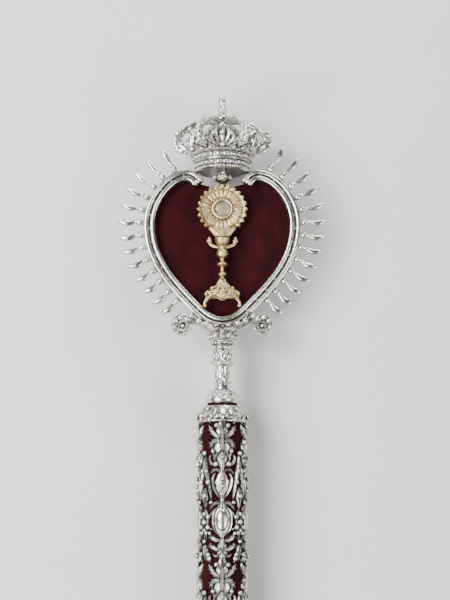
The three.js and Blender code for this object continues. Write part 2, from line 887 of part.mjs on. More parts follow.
function addCrown() {
  const strapSpan = 2 * (crownBandTopRadius - 0.9 * crownWall);
  const strapBase = crownBase + strapHeight;
  const strap = new THREE.BoxGeometry(strapSpan, strapThickness, strapWidth).translate(
    0,
    strapBase + 0.5 * strapThickness,
    0,
  );
  const basket = joined([crownBasketGeometry(), strap]);
  const boreRadius = spigotRadius + clearance;
  const boreTop = strapBase + 2 * strapThickness;
  const bore = turned([[0, crownBase], [boreRadius, crownBase], [boreRadius, boreTop], [0, boreTop]], 12);
  addPiece("crown_basket", toGeometry(basket.subtract(toSolid(bore))), silver);

  const outline = archOutline();
  const archAzimuth = 180 / archCount;
  for (let i = 0; i < archCount; i++) {
    const azimuth = THREE.MathUtils.degToRad(archAzimuth + (360 * i) / archCount);
    const arch = plate(outline, -0.5 * archThickness, 0.5 * archThickness);
    addPiece(`crown_arch_${i + 1}`, arch.rotateY(azimuth - Math.PI / 2), silver);
  }

  const orbBase = crownRim + 24;
  const orbCentre = crownRim + 30.5;
  const ballCentre = crownRim + 46.5;
  addPiece(
    "crown_finial",
    turned(
      [
        [0, orbBase],
        [hubRadius - 1, orbBase],
        [hubRadius, orbBase + 1.2],
        [hubRadius, orbCentre - 2.2],
        [orbRadius - 0.6, orbCentre + 0.8],
        [0.8 * orbRadius, orbCentre + 3.6],
        [0.42 * orbRadius, orbCentre + 5.6],
        [0.66 * orbRadius, orbCentre + 8],
        [0.6 * orbRadius, orbCentre + 10.4],
        [0.36 * orbRadius, ballCentre - 0.95 * finialBallRadius],
        [0.86 * finialBallRadius, ballCentre - 0.5 * finialBallRadius],
        [0.86 * finialBallRadius, ballCentre + 0.5 * finialBallRadius],
        [0.4 * finialBallRadius, ballCentre + finialBallRadius],
        [0, ballCentre + finialBallRadius],
      ],
      turnedSides,
    ),
    silver,
  );

  const post = turned(
    [
      [0, postBase],
      [2.4, postBase],
      [6.4, postBase + 2.4],
      [7.4, postBase + 5],
      [4.2, postBase + 8.6],
      [4.2, strapBase - 2.4],
      [5.4, strapBase - 1.6],
      [5.4, strapBase - clearance],
      [spigotRadius, strapBase - clearance],
      [spigotRadius, strapBase + strapThickness + 3],
      [0, strapBase + strapThickness + 4.2],
    ],
    12,
  );
  const lugDepth = -(plateFront + clearance);
  const lug = new THREE.BoxGeometry(5, 5, lugDepth).translate(0, postBase + 4.6, -0.5 * lugDepth);
  addPiece("crown_post", toGeometry(joined([post, lug])), silver);
}

addPole();
addSleeve();
addStem();
addBracket();
addHeart();
addRays();
addMonstrance();
addCrown();

// The staff lies on the backs of two crown arches and on its foot ring, which tips it slightly.
function lowestOf(name) {
  const positions = staff.getObjectByName(name).geometry.getAttribute("position");
  const points = Array.from({ length: positions.count }, (_, i) =>
    new THREE.Vector3().fromBufferAttribute(positions, i),
  );
  return points.reduce((low, point) => (point.z < low.z ? point : low));
}

const crownRest = lowestOf("crown_arch_3");
const footRest = lowestOf("foot_ferrule");
const restTilt = Math.atan2(footRest.z - crownRest.z, crownRest.y - footRest.y);
staff.rotation.x = restTilt;
staff.updateMatrixWorld(true);
const laid = new THREE.Box3().setFromObject(staff, true);
const middle = laid.getCenter(new THREE.Vector3());
staff.position.set(-middle.x, -middle.y, -laid.min.z);

export default staff;
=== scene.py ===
"""A silver processional staff lying on its back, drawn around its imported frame.

Every form is drawn upright in the staff's own millimetres: +Y from the foot's tip towards the
crown, +X to the right and +Z towards the front of the heart. LAID puts it where the frame lies.
"""

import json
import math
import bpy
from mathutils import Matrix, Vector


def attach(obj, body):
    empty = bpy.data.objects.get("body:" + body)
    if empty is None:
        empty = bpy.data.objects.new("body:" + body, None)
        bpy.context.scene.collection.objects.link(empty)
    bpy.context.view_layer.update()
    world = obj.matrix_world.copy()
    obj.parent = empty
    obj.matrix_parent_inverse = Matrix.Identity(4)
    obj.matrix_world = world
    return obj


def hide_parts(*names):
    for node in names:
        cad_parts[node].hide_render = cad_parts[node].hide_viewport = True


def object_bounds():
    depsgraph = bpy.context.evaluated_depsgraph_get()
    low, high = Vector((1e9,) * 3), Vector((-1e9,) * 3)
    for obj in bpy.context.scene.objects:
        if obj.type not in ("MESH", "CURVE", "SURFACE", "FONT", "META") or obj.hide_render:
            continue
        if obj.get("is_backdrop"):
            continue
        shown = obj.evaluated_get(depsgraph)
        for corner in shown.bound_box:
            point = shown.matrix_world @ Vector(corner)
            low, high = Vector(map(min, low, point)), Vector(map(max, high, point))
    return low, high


bl_info = {
    "name": "Processional Staff",
    "version": (1, 0, 0),
    "blender": (4, 5, 0),
    "location": "View3D > Sidebar > Staff",
    "description": "Builds a silver processional staff with a crowned heart and its studio",
    "category": "Add Mesh",
}

from functools import partial

import bmesh
import bpy
from bpy.props import FloatProperty, FloatVectorProperty, IntProperty, PointerProperty
from mathutils import Matrix, Vector

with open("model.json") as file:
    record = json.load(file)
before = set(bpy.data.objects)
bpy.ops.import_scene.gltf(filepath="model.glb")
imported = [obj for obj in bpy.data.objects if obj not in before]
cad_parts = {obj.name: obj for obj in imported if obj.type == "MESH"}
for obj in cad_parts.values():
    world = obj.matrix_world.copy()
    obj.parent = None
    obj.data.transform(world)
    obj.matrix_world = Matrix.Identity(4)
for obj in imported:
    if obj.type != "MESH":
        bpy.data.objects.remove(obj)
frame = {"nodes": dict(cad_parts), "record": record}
CAD_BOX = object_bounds()

BODY = "root"
FOOT = frame["record"]["mounts"][0]
TILT = math.atan2(-FOOT["axis"][2], -FOOT["axis"][1])
LAID = (
    Matrix.Translation(Vector(FOOT["pos_m"]))
    @ Matrix.Rotation(TILT, 4, "X")
    @ Matrix.Scale(0.001, 4)
)
FULL_TURN = 2 * math.pi
SLEEVE_COLUMNS = 4
SLEEVE_LENGTHS = 2
SUN_FLUTES = 24
FOOT_RING_FLATS = 16


def nodes_called(start):
    """How many of the frame's nodes have names that begin in this way."""
    return sum(name.startswith(start) for name in frame["nodes"])


CROWN_POINTS = nodes_called("crown_arch_")


def millimetres(description, default):
    """A size in the staff's own millimetres."""
    text = f"{description}, in millimetres"
    return FloatProperty(name=description, description=text, default=default)


def degrees(description, default):
    """An angle whose default is given in degrees."""
    return FloatProperty(
        name=description, description=description, subtype="ANGLE", default=math.radians(default)
    )


def watts(description, default):
    """The power of a lamp."""
    return FloatProperty(name=description, description=description, unit="POWER", min=0, default=default)


def number_of(description, default):
    """How many pieces of a kind the staff has."""
    return IntProperty(name=description, description=description, default=default, min=2)


def colour(description, default):
    """A colour as red, green and blue shares."""
    return FloatVectorProperty(
        name=description, description=description, subtype="COLOR", size=3, min=0, max=1, default=default
    )


class StaffSizes(bpy.types.PropertyGroup):
    """The staff's driving sizes, in millimetres"""

    pole_top: millimetres("Height of the pole's top above the foot's tip", 1440)
    pole_radius: millimetres("Radius of the pole over its velvet", 18)
    pole_neck: millimetres("Radius of the pole's top face", 12)
    shoulder: millimetres("Height of the pole's sloping shoulder", 10)
    sleeve_length: millimetres("Length of the openwork sleeve", 230)
    ferrule_tip: millimetres("Length of the ferrule below the pole", 60)
    ferrule_socket: millimetres("Length of the ferrule round the pole", 36)
    foot_ring: millimetres("Radius of the ring at the foot", 24)
    knop_count: number_of("Number of knops on the pole", nodes_called("pole_knop_"))
    knop_length: millimetres("Length of a knop on the pole", 34)
    knop_radius: millimetres("Radius of a knop on the pole", 25)
    bell_height: millimetres("Height of the bell on the pole's top", 11.2)
    bell_radius: millimetres("Radius of the bell on the pole's top", 13.5)
    stem_height: millimetres("Height of the stem", 37.8)
    stem_radius: millimetres("Radius of the stem's beaded ring", 9.2)
    cup_height: millimetres("Height of the bracket's cup", 13.5)
    cup_radius: millimetres("Radius of the bracket's cup", 14)
    heart_height: millimetres("Height of the heart's centre line", 126.5)
    heart_half_width: millimetres("Half of the width of the heart's centre line", 62)
    heart_widest: millimetres("Height above the apex where the heart is widest", 84)
    lobe_inset: millimetres("Distance of a lobe's top from the middle", 30)
    end_inset: millimetres("Distance of a rolled end from the middle", 22.6)
    frame_half_width: millimetres("Half of the width of the heart's moulding", 5.1)
    frame_front: millimetres("Depth of the moulding's front", 3.9)
    frame_back: millimetres("Depth of the moulding's back", 3.4)
    panel_thickness: millimetres("Thickness of the velvet panel", 4)
    plate_thickness: millimetres("Thickness of the plate behind the panel", 1.5)
    tongue_half_width: millimetres("Half of the width of the back plate's tongue", 6)
    ray_count: number_of("Number of rays on each side", nodes_called("ray_left_"))
    longest_ray: millimetres("Length of the highest ray", 24.5)
    shortest_ray: millimetres("Length of the lowest ray", 18)
    first_ray: millimetres("Distance of the highest ray from the moulding's end", 17.5)
    last_ray: millimetres("Distance of the lowest ray from the apex", 41)
    least_lean: degrees("Least angle between a ray and the staff's axis", 30)
    volute_radius: millimetres("Radius of a volute", 9.6)
    volute_inset: millimetres("Distance of a volute's eye from the middle", 33.8)
    volute_drop: millimetres("Depth of a volute's eye below the heart's apex", 3)
    monstrance_lift: millimetres("Height of the monstrance's foot above the heart's apex", 20)
    monstrance_foot_height: millimetres("Height of the monstrance's foot", 16)
    monstrance_half_width: millimetres("Half of the width of the monstrance's foot", 14.6)
    monstrance_half_depth: millimetres("Half of the depth of the monstrance's foot", 7)
    sun_radius: millimetres("Radius of the monstrance's disc", 21.5)
    sun_neck: millimetres("Length of the neck under the disc", 3.9)
    sun_clearance: millimetres("Space between the disc and the crown's knob", 1.6)
    lens_radius: millimetres("Radius of the lens", 6.4)
    monstrance_forward: millimetres("Distance of the monstrance before the heart's middle", 4.2)
    crown_lift: millimetres("Height of the crown's lower edge above the heart's line", 2.6)
    post_depth: millimetres("Depth of the knob under the crown", 9.6)
    crown_base_radius: millimetres("Radius of the crown's lower edge", 22)
    crown_top_radius: millimetres("Radius of the crown's band at its top", 26.8)
    crown_band: millimetres("Height of the crown's band", 16.2)
    crown_wall: millimetres("Thickness of the crown's band", 2.4)
    crown_strap: millimetres("Height of the strap inside the crown", 7)
    fleuron_height: millimetres("Height of the crown's leaf points over its band", 17)
    arch_pearl_pitch: millimetres("Distance between the pearls on a crown arch", 3.9)
    arch_reach: millimetres("Reach of a crown arch from the axis", 43.3)
    finial_base: millimetres("Height of the finial's lower end over the crown's band", 24)
    orb_height: millimetres("Height of the orb's middle over the crown's band", 30.5)
    finial_ball: millimetres("Height of the finial's ball over the crown's band", 46.5)
    gap: millimetres("Gap between neighbouring pieces", 0.3)


class StaffColours(bpy.types.PropertyGroup):
    """The staff's colours"""

    silver: colour("Polished silver", (0.72, 0.72, 0.70))
    tarnish: colour("Tarnish in the silver's hollows", (0.085, 0.078, 0.066))
    # Painted shade: this darker silver tone for the inside of the crown stands in for the shade within it.
    dull: colour("Unpolished silver inside the crown", (0.26, 0.25, 0.235))
    gilt: colour("Worn gilding", (0.66, 0.505, 0.275))
    gilt_hollow: colour("Dirt in the gilding's hollows", (0.075, 0.048, 0.02))
    velvet: colour("Velvet seen along its pile", (0.0125, 0.0006, 0.0018))
    velvet_nap: colour("Velvet where the pile catches light", (0.033, 0.0017, 0.0048))
    wafer: colour("Wafer behind the lens", (0.52, 0.42, 0.24))
    floor: colour("Studio floor", (0.66, 0.655, 0.64))
    sky: colour("Light from all round", (0.62, 0.64, 0.68))


class StaffStudio(bpy.types.PropertyGroup):
    """The studio's camera and lamps"""

    camera_height: millimetres("Height of the camera over the staff's axis", 1175)
    camera_along: millimetres("Place of the camera along the staff", 1340.4)
    camera_aside: millimetres("Distance of the camera to the right of the staff", 2.3)
    camera_pitch: degrees("Pitch of the camera towards the crown", 9.058)
    camera_view: degrees("Vertical angle of view", 24)
    lit_head: millimetres("Place along the staff that the head's lamps face", 1560)
    lit_foot: millimetres("Place along the staff that the foot's lamp faces", 500)
    key_power: watts("Power of the key lamps", 40)
    fill_power: watts("Power of the fill lamp", 17)
    strip_power: watts("Power of the strip lamp beyond the crown", 15)
    sky_strength: FloatProperty(
        name="Sky", description="Strength of the light from all round", min=0, default=0.16
    )


# Forms that the pieces are built from


def smooth(points, steps=6):
    """Points of any dimension, joined by a smooth curve that passes through each of them."""
    out = []
    last = len(points) - 1
    for i in range(last):
        p0, p1, p2, p3 = (points[min(max(k, 0), last)] for k in (i - 1, i, i + 1, i + 2))
        for s in range(steps):
            t = s / steps
            out.append(
                tuple(
                    0.5
                    * (
                        2 * b
                        + (c - a) * t
                        + (2 * a - 5 * b + 4 * c - d) * t * t
                        + (3 * b - a - 3 * c + d) * t**3
                    )
                    for a, b, c, d in zip(p0, p1, p2, p3)
                )
            )
    out.append(tuple(points[-1]))
    return out


class Form:
    """Points and faces of one piece, gathered in the staff's own millimetres."""

    def __init__(self):
        self.points = []
        self.faces = []

    def skin(self, rings, loop=False):
        """Quads between closed rings of equally many points, capped unless the rings make a loop."""
        start = len(self.points)
        count = len(rings[0])
        for ring in rings:
            self.points.extend(ring)
        for i in range(len(rings) if loop else len(rings) - 1):
            here = start + i * count
            there = start + (i + 1) % len(rings) * count
            for j in range(count):
                k = (j + 1) % count
                self.faces.append((here + j, here + k, there + k, there + j))
        if not loop:
            top = start + (len(rings) - 1) * count
            self.faces.append(tuple(range(start + count - 1, start - 1, -1)))
            self.faces.append(tuple(range(top, top + count)))

    def turned(self, profile, sides=48, place=None, lobes=0, lobe_depth=0.0, lobed=None, closed=False):
        """A turned form from [radius, height] pairs. Between the lobed heights its radius is fluted."""
        rings = []
        for radius, height in profile:
            fluted = lobed is None or lobed[0] <= height <= lobed[1]
            ring = []
            for i in range(sides):
                angle = FULL_TURN * i / sides
                flute = lobe_depth * abs(math.cos(0.5 * lobes * angle)) if lobes and fluted else 0.0
                reach = radius * (1 - (lobe_depth - flute) if lobes and fluted else 1)
                point = Vector((reach * math.sin(angle), height, reach * math.cos(angle)))
                ring.append(place(point) if place else point)
            rings.append(ring)
        self.skin(rings, loop=closed)

    def bead(self, centre, radius, stretch=(1, 1, 1), turn=0.0, sides=12, rows=8):
        """A ball, stretched along the tangent, the height and the outward line at its turn."""
        centre = Vector(centre)
        tangent = Vector((math.cos(turn), 0, -math.sin(turn)))
        outward = Vector((math.sin(turn), 0, math.cos(turn)))
        upward = Vector((0, 1, 0))
        rings = []
        for i in range(rows + 1):
            lift = math.pi * (i / rows - 0.5)
            ring_radius = max(radius * math.cos(lift), 0.02 * radius)
            ring = []
            for j in range(sides):
                angle = FULL_TURN * j / sides
                ring.append(
                    centre
                    + stretch[0] * ring_radius * math.cos(angle) * tangent
                    + stretch[1] * radius * math.sin(lift) * upward
                    + stretch[2] * ring_radius * math.sin(angle) * outward
                )
            rings.append(ring)
        self.skin(rings)

    def bead_ring(self, count, reach, height, radius, stretch=(1, 1, 1), start=0.5, sides=10, rows=6):
        """Beads evenly round the staff's axis; start is the first one's place, in spacings."""
        for i in range(count):
            x, z = on_circle(i, count, reach, start)
            self.bead((x, height, z), radius, stretch, FULL_TURN * (i + start) / count, sides, rows)

    def leaf(self, place, path, half, relief, lobes=4, lobe_depth=0.2, tip=0.75, vein=0.3, steps=5):
        """A leaf on a surface: place(x, y, out) gives a point of space. Its width swells and tapers."""
        line = smooth(path, steps)
        last = len(line) - 1
        rings = []
        for i, here in enumerate(line):
            t = i / last
            before = line[max(i - 1, 0)]
            after = line[min(i + 1, last)]
            run, rise = after[0] - before[0], after[1] - before[1]
            size = math.hypot(run, rise) or 1.0
            swell = max(math.sin(math.pi * min(max(t, 0.02), 0.985) ** tip), 0.05) ** 0.8
            notch = 1 - lobe_depth * (0.5 + 0.5 * math.cos(FULL_TURN * lobes * t))
            width = half * swell * notch
            height = relief * (0.35 + 0.65 * swell)
            ring = []
            for j in range(7):
                u = (j - 3) / 3
                dome = math.sqrt(max(1 - u * u, 0)) * 0.85 + 0.15 * (1 - abs(u))
                groove = vein * math.exp(-((u / 0.2) ** 2))
                out = height * max(dome - groove, 0)
                side = u * width / size
                ring.append(place(here[0] - side * rise, here[1] + side * run, out))
            rings.append(ring)
        self.skin(rings)

    def spray(self, place, path, half, relief, sprouts, reach):
        """A leaf with smaller leaves that sprout from both of its edges and bend forward."""
        self.leaf(place, path, half, relief, sprouts, 0.22, steps=4)
        line = smooth(path, 6)
        for k in range(1, sprouts + 1):
            i = max(1, round(k / (sprouts + 1.5) * (len(line) - 1)))
            x, y = line[i]
            run, rise = x - line[i - 1][0], y - line[i - 1][1]
            size = math.hypot(run, rise) or 1.0
            ahead = (run / size, rise / size)
            for hand in (-1, 1):
                across = (-hand * ahead[1], hand * ahead[0])
                bend = []
                for far, out in ((-0.1, 0.1), (0.45, 0.45), (0.75, 1.0)):
                    step_x = far * ahead[0] + out * across[0]
                    step_y = far * ahead[1] + out * across[1]
                    bend.append((x + reach * step_x, y + reach * step_y))
                self.leaf(place, bend, 0.5 * half, 0.85 * relief, 1, 0.1, steps=3)

    def boss(self, place, x, y, half_x, half_y, relief):
        """A smooth dome with an oval outline on a surface."""
        sides, rows = 28, 8
        rings = []
        for i in range(rows + 1):
            lift = 0.5 * math.pi * i / rows
            share = max(math.cos(lift), 0.03)
            rings.append(
                [
                    place(
                        x + half_x * share * math.cos(FULL_TURN * j / sides),
                        y + half_y * share * math.sin(FULL_TURN * j / sides),
                        relief * math.sin(lift),
                    )
                    for j in range(sides)
                ]
            )
        self.skin(rings)

    def bar(self, place, path, sides=12):
        """A rounded bar along a flat path of [x, y, half width, half depth]; place gives its plane."""
        rings = []
        last = len(path) - 1
        for i, (x, y, half, deep) in enumerate(path):
            before = path[max(i - 1, 0)]
            after = path[min(i + 1, last)]
            run, rise = after[0] - before[0], after[1] - before[1]
            size = math.hypot(run, rise) or 1.0
            ring = []
            for j in range(sides):
                angle = FULL_TURN * j / sides
                across = half * math.copysign(abs(math.cos(angle)) ** 0.7, math.cos(angle))
                out = deep * math.copysign(abs(math.sin(angle)) ** 0.7, math.sin(angle))
                ring.append(place(x - across * rise / size, y + across * run / size, out))
            rings.append(ring)
        self.skin(rings)


def stretched(outline, steps, radius, base, rise):
    """A smooth outline from shares of a radius and of a height above a base."""
    return [(across * radius, base + up * rise) for across, up in smooth(outline, steps)]


def span(base, rise, low, high):
    """Two heights from shares of a height above a base."""
    return base + low * rise, base + high * rise


def on_circle(index, count, radius, start=0.0):
    """Sideways and forward parts of one of several places round a circle."""
    turn = FULL_TURN * (index + start) / count
    return radius * math.sin(turn), radius * math.cos(turn)


def measured(points):
    """Distances run along a line at each of its points."""
    run = [0.0]
    for before, after in zip(points, points[1:]):
        run.append(run[-1] + math.dist(before, after))
    return run


def round_pole(radius, turn):
    """A surface round the staff's axis: x runs round it, y along it and out away from it."""

    def place(x, y, out):
        angle = turn + x / radius
        reach = radius + out
        return Vector((reach * math.sin(angle), y, reach * math.cos(angle)))

    return place


def upright_plane(turn, base):
    """A plane through the staff's axis: x is the distance from it and out is across the plane."""

    def place(x, y, out):
        return Vector(
            (
                x * math.sin(turn) + out * math.cos(turn),
                base + y,
                x * math.cos(turn) - out * math.sin(turn),
            )
        )

    return place


def facing_plane(x0, y0, z0, side=1):
    """A plane that faces the front, with its origin at a point; side -1 mirrors it."""

    def place(x, y, out):
        return Vector((x0 + side * x, y0 + y, z0 + out))

    return place


def make_piece(name, form, finish, node, crease=38, inside=None):
    """Makes a piece that stands for a node; inside is the finish of faces towards the axis."""
    mesh = bpy.data.meshes.new(name)
    mesh.from_pydata([point[:] for point in form.points], [], form.faces)
    work = bmesh.new()
    work.from_mesh(mesh)
    bmesh.ops.recalc_face_normals(work, faces=work.faces)
    if inside:
        for face in work.faces:
            middle = face.calc_center_median()
            outward = Vector((middle.x, 0, middle.z)).normalized()
            face.material_index = int(face.normal.dot(outward) < -0.3)
    work.to_mesh(mesh)
    work.free()
    mesh.transform(LAID)
    mesh.shade_smooth()
    mesh.set_sharp_from_angle(angle=math.radians(crease))
    mesh.materials.append(finish_of(finish))
    if inside:
        mesh.materials.append(finish_of(inside))
    piece = bpy.data.objects.new(name, mesh)
    bpy.context.scene.collection.objects.link(piece)
    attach(piece, BODY)
    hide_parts(node)


# Heights along the staff


class Heights:
    """Heights along the staff, and depths in its head, that follow from its sizes."""

    def __init__(self, sizes):
        gap = sizes.gap
        self.sleeve_top = sizes.pole_top - sizes.shoulder
        self.sleeve_base = self.sleeve_top - sizes.sleeve_length
        self.ferrule_top = sizes.ferrule_tip + sizes.ferrule_socket
        self.bell_base = sizes.pole_top + gap
        self.stem_base = self.bell_base + sizes.bell_height + gap
        self.cup_base = self.stem_base + sizes.stem_height + gap
        self.apex = self.cup_base + sizes.cup_height + gap + sizes.frame_half_width
        self.heart_top = self.apex + sizes.heart_height
        self.monstrance_base = self.apex + sizes.monstrance_lift
        self.shaft_base = self.monstrance_base + sizes.monstrance_foot_height + gap
        self.crown_base = self.heart_top + sizes.crown_lift
        self.crown_strap = self.crown_base + sizes.crown_strap
        self.crown_rim = self.crown_base + sizes.crown_band
        self.post_base = self.crown_base - sizes.post_depth
        self.sun_centre = self.post_base - sizes.sun_clearance - sizes.sun_radius
        self.sun_foot = self.sun_centre - sizes.sun_radius - sizes.sun_neck
        self.panel_front = -sizes.frame_back - gap
        self.panel_back = self.panel_front - sizes.panel_thickness
        self.plate_front = self.panel_back - gap
        self.plate_back = self.plate_front - sizes.plate_thickness


def sizes_and_heights(context):
    """The driving sizes and the heights that follow from them."""
    sizes = context.scene.staff_sizes
    return sizes, Heights(sizes)


# Materials


class Finish:
    """A material in the making: its nodes, its shader and coordinates in millimetres."""

    def __init__(self, name):
        self.material = bpy.data.materials.new(name)
        self.material.use_nodes = True
        self.nodes = self.material.node_tree.nodes
        self.shader = self.nodes["Principled BSDF"]
        place = self.nodes.new("ShaderNodeTexCoord").outputs["Object"]
        scale = self.nodes.new("ShaderNodeVectorMath")
        scale.operation = "SCALE"
        self.feed(scale, {0: place, "Scale": 1000})
        self.where = scale.outputs["Vector"]

    def feed(self, node, inputs):
        """Gives a node's inputs their plain values, or links them to other sockets."""
        for name, value in inputs.items():
            if isinstance(value, bpy.types.NodeSocket):
                self.material.node_tree.links.new(value, node.inputs[name])
            else:
                node.inputs[name].default_value = value
        return node

    def node(self, kind, inputs):
        """A new node of a kind, with its inputs."""
        return self.feed(self.nodes.new(kind), inputs)

    def shade(self, inputs):
        """Gives the surface's shader its inputs."""
        self.feed(self.shader, inputs)

    def noise(self, scale, detail=4.0, roughness=0.55, stretch=None):
        """Clouded values from 0 to 1; a greater scale makes them finer."""
        where = self.where
        if stretch:
            where = self.node("ShaderNodeMapping", {"Vector": where, "Scale": stretch}).outputs["Vector"]
        inputs = {"Vector": where, "Scale": scale, "Detail": detail, "Roughness": roughness}
        return self.node("ShaderNodeTexNoise", inputs).outputs["Fac"]

    def ramp(self, value, low, high, start=0.0, end=1.0):
        """Maps a value from low..high to start..end, held at both ends."""
        inputs = {"Value": value, "From Min": low, "From Max": high, "To Min": start, "To Max": end}
        step = self.node("ShaderNodeMapRange", inputs)
        step.interpolation_type = "SMOOTHSTEP"
        return step.outputs["Result"]

    def mix(self, share, first, second):
        """A colour between two colours or sockets, which are the node's inputs 6 and 7."""
        blend = self.nodes.new("ShaderNodeMix")
        blend.data_type = "RGBA"
        ends = [end if isinstance(end, bpy.types.NodeSocket) else (*end, 1) for end in (first, second)]
        return self.feed(blend, {"Factor": share, 6: ends[0], 7: ends[1]}).outputs[2]

    def reckon(self, operation, first, second):
        """The sum or the product of two values."""
        result = self.node("ShaderNodeMath", {0: first, 1: second})
        result.operation = operation
        return result.outputs[0]

    def bump(self, height, strength, distance, before=None):
        """Roughens the surface, over a bump that it has already."""
        rough = self.node("ShaderNodeBump", {"Strength": strength, "Distance": distance, "Height": height})
        if before:
            self.feed(rough, {"Normal": before})
        self.shade({"Normal": rough.outputs["Normal"]})
        return rough.outputs["Normal"]


def old_metal(name, bright, hollow, shine, hollow_reach=0.004, grain=0.25, rub=(0.34, 0.93)):
    """Hand-rubbed metal: bright where a cloth reaches, dark and dull in the hollows."""
    metal = Finish(name)
    shelter = metal.node("ShaderNodeAmbientOcclusion", {"Distance": hollow_reach})
    shelter.samples = 8
    clouds, specks = metal.noise(0.09, 5.0), metal.noise(1.1, 3.0)
    open_share = metal.ramp(shelter.outputs["AO"], *rub)
    rubbed = metal.reckon("MULTIPLY", open_share, metal.ramp(specks, 0.22, 0.5, 0.72, 1.0))
    warm = tuple(0.86 * part * tint for part, tint in zip(bright, (1.0, 0.965, 0.90)))
    face = metal.mix(metal.ramp(clouds, 0.36, 0.66), warm, bright)
    dull = metal.ramp(rubbed, 0.1, 0.95, 0.58, shine)
    roughness = metal.reckon("ADD", dull, metal.ramp(clouds, 0.4, 0.7, 0.0, 0.09))
    metal.shade({"Metallic": 1.0, "Base Color": metal.mix(rubbed, hollow, face), "Roughness": roughness})
    dents = metal.bump(metal.noise(0.42, 2.0), 0.16, 0.0004)
    pits = metal.bump(metal.noise(1.0, 2.0, 0.6), grain, 0.0004, dents)
    metal.bump(metal.noise(2.6, 2.0, 0.5, (1.0, 0.12, 1.0)), 0.12, 0.00008, pits)
    return metal.material


def plush(name, deep, nap):
    """Velvet: a short pile whose nap lies this way and that, with a soft sheen at its edges."""
    velvet = Finish(name)
    brushed = velvet.noise(0.08, 5.0, 0.65, (1.0, 0.5, 1.0))
    pile = velvet.noise(5.5, 2.0, 0.7)
    raised = velvet.ramp(pile, 0.3, 0.7, 0.35, 1.0)
    tuft = velvet.reckon("MULTIPLY", velvet.ramp(brushed, 0.28, 0.74), raised)
    velvet.shade(
        {
            "Base Color": velvet.mix(tuft, deep, nap),
            "Roughness": 0.92,
            "Specular IOR Level": 0.12,
            "Sheen Weight": 0.1,
            "Sheen Roughness": 0.38,
            "Sheen Tint": (0.45, 0.03, 0.06, 1),
        }
    )
    velvet.bump(pile, 0.5, 0.00016, velvet.bump(brushed, 0.22, 0.0006))
    return velvet.material


def plain_finish(name, tone, mottle, shade, roughness, relief=0.0):
    """A matt surface of one colour, mottled a little darker."""
    plain = Finish(name)
    grain = plain.noise(*mottle)
    darker = tuple(shade * part for part in tone)
    plain.shade({"Base Color": plain.mix(grain, darker, tone), "Roughness": roughness})
    if relief:
        plain.bump(grain, relief, 0.0002)
    return plain.material


def crystal_finish(name):
    """Clear crystal with faint smears."""
    crystal = Finish(name)
    smears = crystal.ramp(crystal.noise(0.5, 3.0), 0.35, 0.7, 0.02, 0.09)
    clear = (0.97, 0.98, 0.96, 1)
    crystal.shade({"Transmission Weight": 1.0, "IOR": 1.5, "Base Color": clear, "Roughness": smears})
    return crystal.material


def finish_of(name):
    """The named finish, made when it is first asked for."""
    if name in bpy.data.materials:
        return bpy.data.materials[name]
    tones = bpy.context.scene.staff_colours
    silver, tarnish, dull = tuple(tones.silver), tuple(tones.tarnish), tuple(tones.dull)
    gilt, dirt = tuple(tones.gilt), tuple(tones.gilt_hollow)
    makers = {
        "old_silver": lambda: old_metal(name, silver, tarnish, 0.22),
        "chased_silver": lambda: old_metal(name, silver, tarnish, 0.22, 0.007, 0.3, (0.5, 1.0)),
        # The crown's inside: darker silver with tarnish over a wider reach, painted shade for the shade
        # within the crown.
        "shade_painted_silver": lambda: old_metal(name, dull, tarnish, 0.42, 0.012),
        "worn_gilt": lambda: old_metal(name, gilt, dirt, 0.32, 0.004, 0.7),
        "maroon_velvet": lambda: plush(name, tuple(tones.velvet), tuple(tones.velvet_nap)),
        "toned_wafer": lambda: plain_finish(name, tuple(tones.wafer), (1.8, 4.0), 0.8, 0.62, 0.3),
        "pale_floor": lambda: plain_finish(name, tuple(tones.floor), (0.01, 3.0), 0.96, 0.85),
        "clear_crystal": lambda: crystal_finish(name),
    }
    return makers[name]()


# The heart's line


def bezier(p0, p1, p2, p3, count):
    """A curve between two ends with two handles, without its last point."""
    points = []
    for i in range(count):
        t = i / count
        s = 1 - t
        points.append(p0 * s**3 + p1 * 3 * s * s * t + p2 * 3 * s * t * t + p3 * t**3)
    return points


class HeartLine:
    """The right half of the heart's centre line, from the apex round to its rolled end."""

    def __init__(self, sizes, apex):
        width, height, widest = sizes.heart_half_width, sizes.heart_height, sizes.heart_widest
        lobe, end = sizes.lobe_inset, sizes.end_inset

        def at(x, y):
            return Vector((x, apex + y))

        flank = (0.35 * width, 0.136 * widest)
        line = bezier(
            at(0, 0), at(0.42 * flank[0], 0), at(0.72 * flank[0], 0.46 * flank[1]), at(*flank), 60
        )
        line += bezier(
            at(*flank),
            at(0.715 * width, 0.41 * widest),
            at(width, 0.64 * widest),
            at(width, widest),
            160,
        )
        line += bezier(
            at(width, widest),
            at(width, widest + 0.46 * (height - widest)),
            at(lobe + 0.53 * (width - lobe), height),
            at(lobe, height),
            120,
        )
        line += bezier(
            at(lobe, height),
            at(lobe - 0.42 * (lobe - end), height),
            at(end + 1.6, height - 1.8),
            at(end, height - 4.4),
            30,
        )
        line.append(at(end, height - 4.4))
        self.line = line
        self.run = measured(line)
        self.length = self.run[-1]

    def at(self, distance, side=1):
        """A point of the line with its outward normal."""
        distance = min(max(distance, 0.0), self.length)
        i = 1
        while i < len(self.run) - 1 and self.run[i] < distance:
            i += 1
        share = (distance - self.run[i - 1]) / ((self.run[i] - self.run[i - 1]) or 1.0)
        point = self.line[i - 1].lerp(self.line[i], share)
        tangent = (self.line[min(i + 1, len(self.line) - 1)] - self.line[max(i - 2, 0)]).normalized()
        return Vector((side * point.x, point.y)), Vector((side * tangent.y, -tangent.x))

    def stations(self, count):
        return [self.length * i / count for i in range(count + 1)]

    def outline(self, inset, dip, count=60):
        """The heart's closed outline, drawn in from the line, with the points of its dip."""
        right = []
        for distance in self.stations(count):
            point, normal = self.at(distance)
            right.append(point - inset * normal)
        right[0].x = 0.0
        left = [Vector((-point.x, point.y)) for point in reversed(right[1:])]
        return right + [Vector(point) for point in dip] + left


